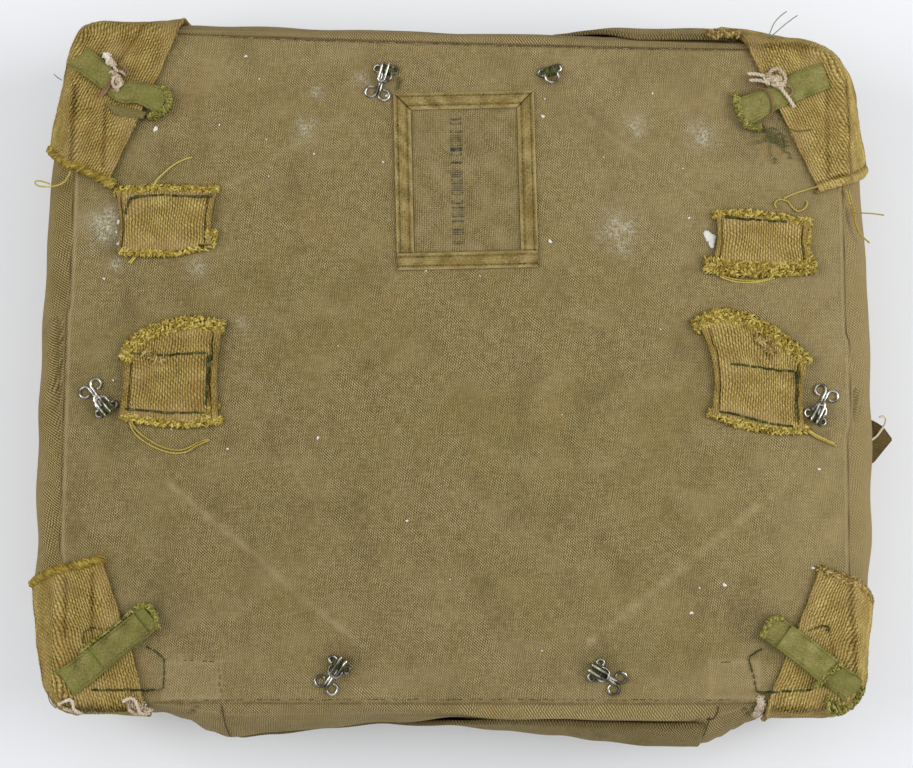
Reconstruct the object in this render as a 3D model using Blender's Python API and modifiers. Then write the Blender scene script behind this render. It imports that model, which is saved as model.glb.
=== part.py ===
"""Seat parachute pack, packed and closed, lying on its flap side with the seat face up.

Units are metres and +Z is up. +X runs along the long side and +Y towards the rear edge, where the
record pocket is. The origin is on the resting face, below the middle of the whole part.

The pack is one filled cloth body. Everything sewn on it is laid out flat on the unfolded cover
and carried onto the body by one function, so a strap runs over the seat face, turns over the seam
and goes on down the wall.
"""
import math
from collections import namedtuple

import bmesh
import bpy
from mathutils import Matrix, Vector
from mathutils.kdtree import KDTree

# ------------------------------------------------------------------ driving dimensions
SEAM_HEIGHT = 0.092        # top seam above the resting face
CROWN = 0.0045             # rise of the filled seat face above its seam
RIPPLE = 0.0009            # shallow waves of the seat face
RIPPLE_LENGTH = 0.150
WEBBING_WIDTH = 0.0445     # harness webbing, 1 3/4 in
TAPE_WIDTH = 0.0138        # reinforcing tape loops
BINDING_WIDTH = 0.0080     # tape round the record pocket
WIRE = 0.00085             # hook and eye wire
GAP = 0.0003               # between pieces that touch
CLOTH_GAP = 0.0004         # under a flat piece sewn on the seat face
SEAT_GAP = 0.0009          # under cloth that follows the curved wall
STRAP_GAP = 0.0010         # under a strap
SEAM_RISE = 0.0016         # more than that, where the stiff strap turns over the seam
SEAM_REACH = 0.0110        # as far as this on each side of the seam

# ------------------------------------------------------------------ outline of the seat face
Corner = namedtuple("Corner", "name x y radius")
CORNERS = (
    Corner("front_left", -0.1890, -0.1525, 0.012),
    Corner("front_right", 0.1770, -0.1530, 0.012),
    Corner("rear_right", 0.1755, 0.1525, 0.020),
    Corner("rear_left", -0.1830, 0.1630, 0.011),
)
SIDES = ("front", "right", "rear", "left")
BOW = {"front": 0.0005, "right": 0.0015, "rear": -0.0026, "left": 0.0014}

# How far the wall stands out past the seam, along x on front and rear, along y on the others.
Fold = namedtuple("Fold", "side along swell")
FOLDS = (
    Fold("front", -0.170, 0.0070), Fold("front", -0.140, 0.0085),
    Fold("front", -0.124, 0.0140), Fold("front", -0.110, 0.0150),
    Fold("front", -0.080, 0.0125), Fold("front", -0.035, 0.0100),
    Fold("front", 0.016, 0.0130), Fold("front", 0.064, 0.0175),
    Fold("front", 0.092, 0.0205), Fold("front", 0.112, 0.0185),
    Fold("front", 0.128, 0.0095), Fold("front", 0.145, 0.0085),
    Fold("right", -0.140, 0.0155), Fold("right", -0.077, 0.0175),
    Fold("right", -0.030, 0.0185), Fold("right", 0.025, 0.0178),
    Fold("right", 0.094, 0.0168), Fold("right", 0.135, 0.0160),
    Fold("rear", 0.160, 0.0150), Fold("rear", 0.132, 0.0205),
    Fold("rear", 0.112, 0.0195), Fold("rear", 0.076, 0.0180),
    Fold("rear", 0.050, 0.0155), Fold("rear", 0.030, 0.0165),
    Fold("rear", -0.010, 0.0155), Fold("rear", -0.067, 0.0150),
    Fold("rear", -0.129, 0.0150), Fold("rear", -0.165, 0.0140),
    Fold("left", 0.148, 0.0150), Fold("left", 0.120, 0.0170),
    Fold("left", 0.060, 0.0190), Fold("left", -0.060, 0.0185),
    Fold("left", -0.092, 0.0172), Fold("left", -0.130, 0.0175),
)

# Wall section from the seam down to the resting face: share of the swell, and set-in below it.
Level = namedtuple("Level", "height share inset")
LEVELS = (
    Level(SEAM_HEIGHT, 0.00, 0.000),
    Level(0.0868, 0.30, 0.000),
    Level(0.0770, 0.64, 0.000),
    Level(0.0630, 0.90, 0.000),
    Level(0.0460, 1.00, 0.000),
    Level(0.0300, 0.95, 0.000),
    Level(0.0160, 0.78, 0.001),
    Level(0.0060, 0.50, 0.003),
    Level(0.0012, 0.22, 0.006),
    Level(0.0000, 0.00, 0.010),
)
FACE_RINGS = (0.975, 0.93, 0.86, 0.77, 0.66, 0.53, 0.38, 0.20)      # shares of the outline

Station = namedtuple("Station", "x y out_x out_y swell")


def mix(first, second, share):
    return first + (second - first) * share


def ease(share):
    return share * share * (3 - 2 * share)


def fillet(index):
    """Centre, first angle and turn of the arc that rounds one corner of the outline."""
    corner = CORNERS[index]
    tip = Vector((corner.x, corner.y))
    before = CORNERS[index - 1]
    after = CORNERS[(index + 1) % len(CORNERS)]
    arriving = (tip - Vector((before.x, before.y))).normalized()
    leaving = (Vector((after.x, after.y)) - tip).normalized()
    turn = arriving.angle(leaving)
    start = tip - arriving * corner.radius * math.tan(turn / 2)
    centre = start + Vector((-arriving.y, arriving.x)) * corner.radius
    first = math.atan2(start.y - centre.y, start.x - centre.x)
    return centre, first, turn


def on_arc(index, share):
    """Point and outward direction on a rounded corner."""
    centre, first, turn = fillet(index)
    out = Vector((math.cos(first + turn * share), math.sin(first + turn * share)))
    return centre + out * CORNERS[index].radius, out


def swell_on(side, along):
    """Swell of one wall at a place along it, eased from fold to fold."""
    folds = sorted((fold for fold in FOLDS if fold.side == side), key=lambda fold: fold.along)
    if along <= folds[0].along:
        return folds[0].swell
    for low, high in zip(folds, folds[1:]):
        if along <= high.along:
            share = (along - low.along) / (high.along - low.along)
            return mix(low.swell, high.swell, ease(share))
    return folds[-1].swell


def seam_line(side_steps, corner_steps):
    """Stations round the seat face, counter-clockwise from the front left corner."""
    stations = []
    for index, side in enumerate(SIDES):
        following = (index + 1) % len(CORNERS)
        start, out_start = on_arc(index, 1)
        end, out_end = on_arc(following, 0)
        out = (out_start + out_end).normalized()
        crossing = side in ("front", "rear")
        for step in range(side_steps):
            share = step / side_steps
            point = start.lerp(end, share) + out * BOW[side] * (1 - (2 * share - 1) ** 2)
            swell = swell_on(side, point.x if crossing else point.y)
            stations.append(Station(point.x, point.y, out.x, out.y, swell))
        next_side = SIDES[following]
        last = swell_on(side, end.x if crossing else end.y)
        after = on_arc(following, 1)[0]
        first = swell_on(next_side, after.y if crossing else after.x)
        for step in range(corner_steps):
            share = step / corner_steps
            point, out = on_arc(following, share)
            swell = mix(last, first, ease(share))
            stations.append(Station(point.x, point.y, out.x, out.y, swell))
    return stations


# ------------------------------------------------------------------ the cover as one surface
FINE_SEAM = seam_line(180, 16)
SEAM_TREE = KDTree(len(FINE_SEAM))
for number, place in enumerate(FINE_SEAM):
    SEAM_TREE.insert((place.x, place.y, 0), number)
SEAM_TREE.balance()


def past_normal(place, x, y):
    """How far a point lies past the outward line through a station, along the seam."""
    return (y - place.y) * place.out_x - (x - place.x) * place.out_y


def nearest_station(x, y):
    """Station of the seam nearest to a point, and how far outside the seam the point lies."""
    number = SEAM_TREE.find((x, y, 0))[1]
    place = FINE_SEAM[number]
    side_step = past_normal(place, x, y)
    other = FINE_SEAM[(number + (1 if side_step > 0 else -1)) % len(FINE_SEAM)]
    share = side_step / (side_step - past_normal(other, x, y))
    blended = Station(*(mix(a, b, min(max(share, 0), 1)) for a, b in zip(place, other)))
    distance = (x - blended.x) * blended.out_x + (y - blended.y) * blended.out_y
    return blended, distance


def section_point(swell, level):
    """Stand-out and height of the wall section at a fractional level, on a smooth curve."""
    last = len(LEVELS) - 1
    base = min(int(level), last - 1)
    share = level - base
    rows = [LEVELS[min(max(base + step, 0), last)] for step in (-1, 0, 1, 2)]
    values = []
    for read in (lambda row: row.share * swell - row.inset, lambda row: row.height):
        a, b, c, d = (read(row) for row in rows)
        curve = (2 * b + (c - a) * share + (2 * a - 5 * b + 4 * c - d) * share ** 2
                 + (3 * b - a - 3 * c + d) * share ** 3) / 2
        values.append(curve)
    return values[0], max(values[1], 0.0)


SECTION_STEPS = 4          # sub-steps of each level when a length is measured down the wall


def down_the_wall(swell, distance):
    """Stand-out and height of the wall at a length of cloth below the seam."""
    out, height = section_point(swell, 0)
    travelled = 0.0
    for step in range(1, (len(LEVELS) - 1) * SECTION_STEPS + 1):
        next_out, next_height = section_point(swell, step / SECTION_STEPS)
        length = math.hypot(next_out - out, next_height - height)
        if travelled + length >= distance:
            share = (distance - travelled) / length
            return mix(out, next_out, share), mix(height, next_height, share)
        travelled += length
        out, height = next_out, next_height
    return out, height


def face_height(x, y):
    """Height of the filled seat face: a crown that falls to the seam, with shallow waves."""
    across = min(abs(x + 0.0045) / 0.1835, 1) ** 4
    along = min(abs(y - 0.0020) / 0.1560, 1) ** 4
    fullness = (1 - across) * (1 - along)
    turn = 2 * math.pi / RIPPLE_LENGTH
    wave = math.sin(turn * (x + 0.6 * y)) * math.cos(turn * (0.8 * y - 0.3 * x) + 1)
    return SEAM_HEIGHT + fullness * (CROWN + RIPPLE * wave)


def cover(x, y):
    """Place on the pack of a point of the unfolded cover."""
    place, distance = nearest_station(x, y)
    if distance <= 0:
        return Vector((x, y, face_height(x, y)))
    out, height = down_the_wall(place.swell, distance)
    return Vector((place.x + place.out_x * out, place.y + place.out_y * out, height))


def cover_normal(x, y, reach=0.0015):
    run_x = cover(x + reach, y) - cover(x - reach, y)
    run_y = cover(x, y + reach) - cover(x, y - reach)
    return run_x.cross(run_y).normalized()


def above_cover(x, y, lift, seam_rise=0.0):
    """Point above the cover. Stiff webbing keeps seam_rise more clearance where it turns down."""
    nearness = max(1 - abs(nearest_station(x, y)[1]) / SEAM_REACH, 0)
    return cover(x, y) + cover_normal(x, y) * (lift + seam_rise * ease(nearness))


# ------------------------------------------------------------------ scene, materials, helpers
for old in list(bpy.data.objects):
    bpy.data.objects.remove(old, do_unlink=True)
COLLECTION = bpy.data.collections.new("Packed parachute")
bpy.context.scene.collection.children.link(COLLECTION)


def linear(value):
    return value / 12.92 if value <= 0.04045 else ((value + 0.055) / 1.055) ** 2.4


def finish(name, colour, roughness, metallic=0.0):
    """Principled material from an sRGB hex colour."""
    material = bpy.data.materials.new(name)
    material.use_nodes = True
    shader = material.node_tree.nodes["Principled BSDF"]
    channels = [int(colour[place:place + 2], 16) / 255 for place in (0, 2, 4)]
    shader.inputs["Base Color"].default_value = (*map(linear, channels), 1)
    shader.inputs["Roughness"].default_value = roughness
    shader.inputs["Metallic"].default_value = metallic
    return material


CANVAS = finish("Cotton duck", "877b53", 0.9)
WEBBING = finish("Cotton webbing", "8f7a42", 0.9)
TAPE = finish("Herringbone tape", "85803f", 0.85)
BINDING = finish("Binding tape", "8c7d4f", 0.9)
STEEL = finish("Tinned steel wire", "b9b6ad", 0.3, 1.0)
CORD = finish("Lashing cord", "c9b79a", 0.85)
LEATHER = finish("Dark tab webbing", "4d3c25", 0.85)


def add(name, data, material):
    data.materials.append(material)
    piece = bpy.data.objects.new(name, data)
    COLLECTION.objects.link(piece)
    return piece


def draped_sheet(name, plan, steps, lift, thickness, material, seam_rise=0.0,
                 thin_share=1.0, thick_at=None):
    """Cut piece laid on the cover. plan(u, v) is its place on the unfolded cover.

    The cloth is thick where thick_at(u, v) is 1 and thin_share of that where it is 0.
    """
    shape = bmesh.new()
    bmesh.ops.create_grid(shape, x_segments=steps[0], y_segments=steps[1], size=0.5)
    weights = []
    for vertex in shape.verts:
        u, v = vertex.co.x + 0.5, vertex.co.y + 0.5
        weights.append(thick_at(u, v) if thick_at else 1.0)
        vertex.co = above_cover(*plan(u, v), lift, seam_rise)
    shape.normal_update()
    shape.faces.ensure_lookup_table()
    middle = shape.faces[len(shape.faces) // 2]
    centre = plan(0.5, 0.5)
    if middle.normal.dot(cover_normal(*centre)) < 0:
        bmesh.ops.reverse_faces(shape, faces=shape.faces)
    mesh = bpy.data.meshes.new(name)
    shape.to_mesh(mesh)
    shape.free()
    piece = add(name, mesh, material)
    solid = piece.modifiers.new("Cloth thickness", "SOLIDIFY")
    solid.thickness = thickness
    solid.offset = 1
    if thick_at:
        group = piece.vertex_groups.new(name="Rolled edge")
        for number, weight in enumerate(weights):
            group.add([number], weight, "REPLACE")
        solid.vertex_group = group.name
        solid.thickness_vertex_group = thin_share
    return piece


def quad_plan(corners):
    """Plan of a four-cornered piece: front left, front right, rear right, rear left."""
    low_left, low_right, high_right, high_left = (Vector(corner) for corner in corners)

    def plan(u, v):
        return low_left.lerp(low_right, u).lerp(high_left.lerp(high_right, u), v)
    return plan


def wire(name, points, diameter, material, sides_step=1):
    """Round wire or cord along points, with closed ends."""
    curve = bpy.data.curves.new(name, "CURVE")
    curve.dimensions = "3D"
    curve.bevel_depth = diameter / 2
    curve.bevel_resolution = sides_step
    curve.use_fill_caps = True
    spline = curve.splines.new("POLY")
    spline.points.add(len(points) - 1)
    for target, point in zip(spline.points, points):
        target.co = (*point, 1)
    return add(name, curve, material)


# ------------------------------------------------------------------ the filled pack
SIDE_STEPS = 16
CORNER_STEPS = 6
WALL_RINGS = (9, 8, 7, 6, 5, 4, 3, 2, 1.5, 1, 0.5, 0)     # levels that get a ring of points


def build_pack():
    """Loft the stations from the resting face up the wall and over the crowned seat face."""
    stations = seam_line(SIDE_STEPS, CORNER_STEPS)
    shape = bmesh.new()
    loops = []
    for level in WALL_RINGS:
        loop = []
        for place in stations:
            out, height = section_point(place.swell, level)
            loop.append(shape.verts.new((place.x + place.out_x * out,
                                         place.y + place.out_y * out, height)))
        loops.append(loop)
    for share in FACE_RINGS:
        loops.append([shape.verts.new((place.x * share, place.y * share,
                                       face_height(place.x * share, place.y * share)))
                      for place in stations])
    for low, high in zip(loops, loops[1:]):
        for here in range(len(stations)):
            after = (here + 1) % len(stations)
            shape.faces.new((low[here], low[after], high[after], high[here]))
    middle = shape.verts.new((0, 0, face_height(0, 0)))
    for here in range(len(stations)):
        shape.faces.new((loops[-1][here], loops[-1][(here + 1) % len(stations)], middle))
    shape.faces.new(list(reversed(loops[0])))
    mesh = bpy.data.meshes.new("pack")
    shape.to_mesh(mesh)
    shape.free()
    return add("pack", mesh, CANVAS)


build_pack()

# ------------------------------------------------------------------ outer flap edges on the walls
FLAP_THICKNESS = 0.0018
Flap = namedtuple("Flap", "name side_y left right top bottom steps")
FLAPS = (                  # top and bottom are lengths of cloth below the seam
    Flap("front_flap", -0.1533, -0.116, 0.121, 0.019, 0.080, (18, 7)),
    Flap("rear_flap", 0.1525, 0.046, 0.107, 0.021, 0.074, (6, 6)),
)
for flap in FLAPS:
    outward = math.copysign(1, flap.side_y)
    edges = [flap.side_y + outward * flap.bottom, flap.side_y + outward * flap.top]
    draped_sheet(flap.name, quad_plan(((flap.left, edges[0]), (flap.right, edges[0]),
                                       (flap.right, edges[1]), (flap.left, edges[1]))),
                 flap.steps, SEAT_GAP, FLAP_THICKNESS, CANVAS)

# ------------------------------------------------------------------ cut harness straps
STRAP_THICKNESS = 0.0018
Strap = namedtuple("Strap", "name x y heading width_side length")
STRAPS = (                 # x, y: where the inner selvedge meets the cut end on the seat face
    Strap("strap_rear_left", -0.1665, 0.0925, 64.0, 1, 0.116),
    Strap("strap_rear_right", 0.1645, 0.0860, 116.5, -1, 0.108),
    Strap("strap_front_left", -0.1675, -0.0875, -71.0, -1, 0.092),
    Strap("strap_front_right", 0.1615, -0.0910, -110.0, 1, 0.090),
)


def strap_plan(strap):
    angle = math.radians(strap.heading)
    start = Vector((strap.x, strap.y))
    forward = Vector((math.cos(angle), math.sin(angle)))
    sideways = Vector((-forward.y, forward.x)) * strap.width_side

    def plan(u, v):
        return start + forward * strap.length * u + sideways * WEBBING_WIDTH * v
    return plan


for strap in STRAPS:
    draped_sheet(strap.name, strap_plan(strap), (18, 8), STRAP_GAP, STRAP_THICKNESS, WEBBING,
                 SEAM_RISE)
STRAP_TOP = STRAP_GAP + STRAP_THICKNESS

# ------------------------------------------------------------------ tape loops on the straps
TAPE_THICKNESS = 0.0012
TAPE_GAP = 0.0010          # between a tape and the strap that it crosses
Tape = namedtuple("Tape", "name x y bend_x bend_y end_x end_y layer")
TAPES = (
    Tape("tape_rear_left", -0.1815, 0.1460, -0.1650, 0.1370, -0.1405, 0.1290, 0),
    Tape("tape_rear_right", 0.1665, 0.1395, 0.1500, 0.1325, 0.1275, 0.1225, 0),
    Tape("tape_front_left", -0.1835, -0.1432, -0.1640, -0.1275, -0.1455, -0.1125, 0),
    Tape("tape_front_left_top", -0.1660, -0.1291, -0.1560, -0.1210, -0.1465, -0.1133, 1),
    Tape("tape_front_right", 0.1395, -0.1175, 0.1560, -0.1300, 0.1750, -0.1455, 0),
    Tape("tape_front_right_top", 0.1405, -0.1183, 0.1530, -0.1277, 0.1655, -0.1378, 1),
)


def tape_plan(tape):
    """Tape along a line with one soft bend."""
    start, bend, end = (Vector(pair) for pair in ((tape.x, tape.y), (tape.bend_x, tape.bend_y),
                                                  (tape.end_x, tape.end_y)))

    def plan(u, v):
        middle = start.lerp(bend, u).lerp(bend.lerp(end, u), u)
        forward = (bend.lerp(end, u) - start.lerp(bend, u)).normalized()
        return middle + Vector((-forward.y, forward.x)) * TAPE_WIDTH * (v - 0.5)
    return plan


for tape in TAPES:
    height = STRAP_TOP + TAPE_GAP + tape.layer * (TAPE_THICKNESS + TAPE_GAP)
    draped_sheet(tape.name, tape_plan(tape), (10, 3), height, TAPE_THICKNESS, TAPE, SEAM_RISE)

# ------------------------------------------------------------------ webbing stubs on the seat face
STUB_ROLL = 0.0042         # curled, frayed end of the cut webbing
STUB_THIN = 0.55           # share of that where the webbing lies flat
Stub = namedtuple("Stub", "name front_left front_right rear_right rear_left")
STUBS = (
    Stub("stub_left_rear", (-0.1635, 0.0560), (-0.1190, 0.0580),
         (-0.1170, 0.0855), (-0.1645, 0.0862)),
    Stub("stub_left_front", (-0.1622, -0.0210), (-0.1145, -0.0235),
         (-0.1135, 0.0235), (-0.1605, 0.0110)),
    Stub("stub_right_rear", (0.1130, 0.0470), (0.1615, 0.0470),
         (0.1595, 0.0715), (0.1158, 0.0745)),
    Stub("stub_right_front", (0.1125, -0.0195), (0.1550, -0.0275),
         (0.1575, 0.0060), (0.1090, 0.0265)),
)


def rolled_ends(u, v):
    """1 at the two cut ends of the webbing and 0 between them."""
    edge = min(v, 1 - v) / 0.22
    return max(1 - edge, 0.0)


for stub in STUBS:
    draped_sheet(stub.name, quad_plan(stub[1:]), (6, 10), CLOTH_GAP, STUB_ROLL, WEBBING,
                 thin_share=STUB_THIN, thick_at=rolled_ends)

# ------------------------------------------------------------------ record pocket
PANEL_THICKNESS = 0.0010
BINDING_THICKNESS = 0.0020
POCKET_TURN = math.radians(-1.4)
POCKET_CENTRE = Vector((-0.0007, 0.0902))
POCKET_SIZE = Vector((0.0660, 0.0840))


def pocket_place(x, y):
    """Point of the pocket, from its own centre, on the seat face."""
    turned = Matrix.Rotation(POCKET_TURN, 2) @ Vector((-x, y))
    return POCKET_CENTRE + Vector((-turned.x, turned.y))


def pocket_corners(inset):
    half = POCKET_SIZE / 2 - Vector((inset, inset))
    return [Vector((x * half.x, y * half.y)) for x, y in ((-1, -1), (1, -1), (1, 1), (-1, 1))]


draped_sheet("pocket", quad_plan([pocket_place(*spot) for spot in pocket_corners(BINDING_WIDTH + GAP)]),
             (8, 10), CLOTH_GAP, PANEL_THICKNESS, CANVAS)
OUTER = pocket_corners(0)
INNER = pocket_corners(BINDING_WIDTH)
for here, side in enumerate(("front", "right", "rear", "left")):
    after = (here + 1) % 4
    along = (OUTER[after] - OUTER[here]).normalized() * GAP
    strip = (OUTER[here] + along, OUTER[after] - along, INNER[after] - along, INNER[here] + along)
    draped_sheet("pocket_binding_" + side, quad_plan([pocket_place(*spot) for spot in strip]),
                 (10, 2), CLOTH_GAP, BINDING_THICKNESS, BINDING)

# ------------------------------------------------------------------ hooks and eyes
WIRE_SEAT = WIRE / 2 + GAP             # wire that lies on the cloth
WIRE_STEP = WIRE + GAP                 # one wire over another
EYE_EAR_SPACING = 0.0078
EYE_EAR_RADIUS = 0.0015
EYE_LOOP_RADIUS = 0.0031
EYE_LOOP_REACH = 0.0032                # from the line of the ears to the middle of the loop
EYE_RISE = 0.0024                      # length over which the loop leaves the cloth
HOOK_EAR_SPACING = 0.0061
HOOK_EAR_RADIUS = 0.0021
HOOK_LENGTH = 0.0152                   # from the line of the ears to the front bend
BILL_LENGTH = 0.0100
BILL_SPACING = 0.0029
OPEN_EAR = math.radians(20)            # gap left where an ear closes on itself


def arc(centre, radius, first, last, steps):
    for step in range(steps + 1):
        angle = mix(first, last, step / steps)
        yield Vector((centre[0] + radius * math.cos(angle), centre[1] + radius * math.sin(angle)))


def mirrored(half):
    """A wire path and its mirror image across the fitting's centre line, as one path."""
    return half + [Vector((point.x, -point.y, point.z)) for point in reversed(half)]


def eye_points():
    """Two sewing ears and the round loop, which rises to pass over a hook's shank."""
    ear = (0, EYE_EAR_SPACING / 2)
    flat = list(arc(ear, EYE_EAR_RADIUS, -OPEN_EAR, 1.5 * math.pi, 6))
    loop_start = math.radians(125)
    flat += list(arc((EYE_LOOP_REACH, 0), EYE_LOOP_RADIUS, loop_start, 0, 4))[:-1]
    reach = EYE_LOOP_REACH + EYE_LOOP_RADIUS
    half = []
    for spot in flat:
        risen = ease(min(max(spot.x / EYE_RISE, 0), 1))
        half.append(Vector((spot.x, spot.y, WIRE_SEAT + WIRE_STEP * risen)))
    tip = [Vector((reach, 0, WIRE_SEAT + WIRE_STEP))]
    return half + tip + mirrored(half)[len(half):]


def hook_points():
    """Two sewing ears, a double shank, and a bill bent back over it and closed by a round tip."""
    ear = (0, HOOK_EAR_SPACING / 2)
    shank = HOOK_EAR_SPACING / 2 - HOOK_EAR_RADIUS
    top = WIRE_SEAT + 2 * WIRE_STEP
    half = [Vector((spot.x, spot.y, WIRE_SEAT))
            for spot in arc(ear, HOOK_EAR_RADIUS, -OPEN_EAR, 1.5 * math.pi, 6)]
    bend = (top - WIRE_SEAT) / 2
    straight = HOOK_LENGTH - bend
    half.append(Vector((straight - 0.003, shank, WIRE_SEAT)))
    for spot in arc((straight, WIRE_SEAT + bend), bend, -math.pi / 2, math.pi / 2, 3):
        half.append(Vector((spot.x, BILL_SPACING / 2, spot.y)))
    tip_centre = HOOK_LENGTH - BILL_LENGTH + BILL_SPACING / 2
    for spot in arc((tip_centre, 0), BILL_SPACING / 2, math.pi / 2, math.pi, 3):
        half.append(Vector((spot.x, spot.y, top)))
    return half[:-1] + [half[-1]] + mirrored(half[:-1])[len(half) - 1:]


def fit(name, points, x, y, heading):
    """Lay a wire fitting on the seat face, pointing along its heading in degrees."""
    piece = wire(name, points, WIRE, STEEL)
    tilt = Vector((0, 0, 1)).rotation_difference(cover_normal(x, y, 0.006))
    spin = Matrix.Rotation(math.radians(heading), 4, "Z")
    piece.location = cover(x, y)
    piece.rotation_euler = (tilt.to_matrix().to_4x4() @ spin).to_euler()
    return piece


# Eye: middle of its ears and the heading of its loop. The hook comes the other way: its front
# bend lies past the eye's ears, and its heading leans from the eye's by "lean" degrees.
Fastener = namedtuple("Fastener", "name x y heading hook_past lean")
FASTENERS = (
    Fastener("rear_left", -0.0383, 0.1432, -96, -0.0018, -14),
    Fastener("rear_right", 0.0389, 0.1428, -72, None, 0),
    Fastener("side_left", -0.1676, -0.0172, 122, 0.0028, 5),
    Fastener("side_right", 0.1616, -0.0210, 58, 0.0026, 5),
    Fastener("front_left", -0.0588, -0.1350, -126, 0.0040, 2),
    Fastener("front_right", 0.0592, -0.1375, -32, 0.0036, 0),
)
for fastener in FASTENERS:
    fit("eye_" + fastener.name, eye_points(), fastener.x, fastener.y, fastener.heading)
    if fastener.hook_past is None:
        continue
    loop_way = math.radians(fastener.heading)
    hook_way = math.radians(fastener.heading + 180 + fastener.lean)
    front = Vector((fastener.x, fastener.y)) - fastener.hook_past * Vector(
        (math.cos(loop_way), math.sin(loop_way)))
    ears = front - HOOK_LENGTH * Vector((math.cos(hook_way), math.sin(hook_way)))
    fit("hook_" + fastener.name, hook_points(), ears.x, ears.y, math.degrees(hook_way))

# ------------------------------------------------------------------ lashings over the tape loops
LASHING = 0.0016
LASHING_STEPS = 12
LASHING_REACH = 0.0120     # from the middle of the tape to each end of the cord
LASHING_SLOPE = 0.0022     # length over which the cord climbs onto the tape
Lashing = namedtuple("Lashing", "name x y heading")
LASHINGS = (
    Lashing("lashing_rear_left", -0.1648, 0.1372, 62.0),
    Lashing("lashing_rear_right", 0.1480, 0.1318, 114.0),
)
for lashing in LASHINGS:
    way = Vector((math.cos(math.radians(lashing.heading)), math.sin(math.radians(lashing.heading))))
    route = []
    for step in range(LASHING_STEPS + 1):
        offset = mix(-LASHING_REACH, LASHING_REACH, step / LASHING_STEPS)
        spot = Vector((lashing.x, lashing.y)) + way * offset
        past_edge = abs(offset) - TAPE_WIDTH / 2 - LASHING
        over = ease(min(max(1 - past_edge / LASHING_SLOPE, 0), 1))
        lift = STRAP_TOP + TAPE_GAP + LASHING / 2 + over * (TAPE_THICKNESS + GAP)
        route.append(above_cover(spot.x, spot.y, lift))
    wire(lashing.name, route, LASHING, CORD, 2)

# ------------------------------------------------------------------ tab end at the right wall
TAB_HEIGHT = 0.047
TAB_THICKNESS = 0.0024
TAB_ROOT_X = 0.1965
TAB_OUTLINE = (            # root rear, tip rear, tip, root front
    (0.0, -0.0195), (0.0055, -0.0225), (0.0102, -0.0285), (0.0, -0.0405),
)


def build_tab():
    """Flat end of a sewn-in tab that stands out from the wall, its root against the cloth."""
    curve = bpy.data.curves.new("side_tab", "CURVE")
    curve.dimensions = "2D"
    curve.fill_mode = "BOTH"
    curve.extrude = TAB_THICKNESS / 2
    spline = curve.splines.new("POLY")
    spline.points.add(len(TAB_OUTLINE) - 1)
    for target, (x, y) in zip(spline.points, TAB_OUTLINE):
        target.co = (x, y, 0, 1)
    spline.use_cyclic_u = True
    piece = add("side_tab", curve, LEATHER)
    piece.location = (TAB_ROOT_X, 0, TAB_HEIGHT)
    return piece


build_tab()
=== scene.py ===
"""Seat parachute pack, packed and closed, lying on its flap side with its seat face up.

Metres, +Z up, +X along the long side and +Y towards the rear edge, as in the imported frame.
"""

import math
from collections import namedtuple

import bmesh
import bpy
import numpy as np
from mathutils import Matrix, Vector
from mathutils.geometry import delaunay_2d_cdt


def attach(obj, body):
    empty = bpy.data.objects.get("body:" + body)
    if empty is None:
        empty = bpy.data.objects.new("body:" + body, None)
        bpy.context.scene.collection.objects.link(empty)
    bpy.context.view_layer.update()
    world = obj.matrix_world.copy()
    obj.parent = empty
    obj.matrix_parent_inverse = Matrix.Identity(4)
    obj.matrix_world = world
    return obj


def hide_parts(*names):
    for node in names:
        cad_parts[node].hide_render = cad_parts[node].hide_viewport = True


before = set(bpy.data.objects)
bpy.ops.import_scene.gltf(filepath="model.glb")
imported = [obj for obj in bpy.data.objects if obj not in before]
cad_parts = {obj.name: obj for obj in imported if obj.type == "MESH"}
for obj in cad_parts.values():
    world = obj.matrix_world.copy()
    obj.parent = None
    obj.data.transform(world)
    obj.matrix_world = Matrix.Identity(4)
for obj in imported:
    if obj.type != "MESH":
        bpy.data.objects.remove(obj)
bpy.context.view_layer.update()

# ------------------------------------------------------------------ table, light and camera
# The pack lies on a pale table under a wide, soft overhead light, and is looked at from almost
# straight above.
TABLE_COLOUR = "e9eaed"
TABLE_HALF = 3.0
TABLE_GLOW = 0.14
SKY_STRENGTH = 0.40
CAMERA_PLACE = (-0.0050, -0.0927, 1.0912)
CAMERA_TILT = 5.0
LENS = 84.8


def linear(colour):
    """Linear RGBA of an sRGB hex colour."""
    channels = [int(colour[place:place + 2], 16) / 255 for place in (0, 2, 4)]
    return (*(c / 12.92 if c <= 0.04045 else ((c + 0.055) / 1.055) ** 2.4 for c in channels), 1)


def add_node(tree, kind, inputs=None, **settings):
    """Add a node. inputs gives its sockets a value, or a node or socket to link from."""
    made = tree.nodes.new("ShaderNode" + kind)
    for name, value in settings.items():
        setattr(made, name, value)
    for key, given in (inputs or {}).items():
        socket = made.inputs[key]
        if isinstance(given, bpy.types.Node):
            given = given.outputs[0]
        if isinstance(given, bpy.types.NodeSocket):
            tree.links.new(given, socket)
        else:
            socket.default_value = given
    return made


def tinted(tree, colour, factor, tint):
    """The colour, mixed by the factor with a hex colour."""
    return add_node(tree, "Mix", {0: factor, 6: colour, 7: linear(tint)},
                    data_type="RGBA").outputs[2]


def new_material(name, **values):
    """Material with a Principled shader, whose even sockets are set by name."""
    material = bpy.data.materials.new(name)
    material.use_nodes = True
    shader = material.node_tree.nodes["Principled BSDF"]
    for key, value in values.items():
        socket = key.replace("_", " ").title().replace("Ior", "IOR")
        shader.inputs[socket].default_value = value
    return material, material.node_tree, shader


def link_object(name, data):
    """A new object in the scene that holds the mesh, light or camera data."""
    made = bpy.data.objects.new(name, data)
    bpy.context.scene.collection.objects.link(made)
    return made


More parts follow.
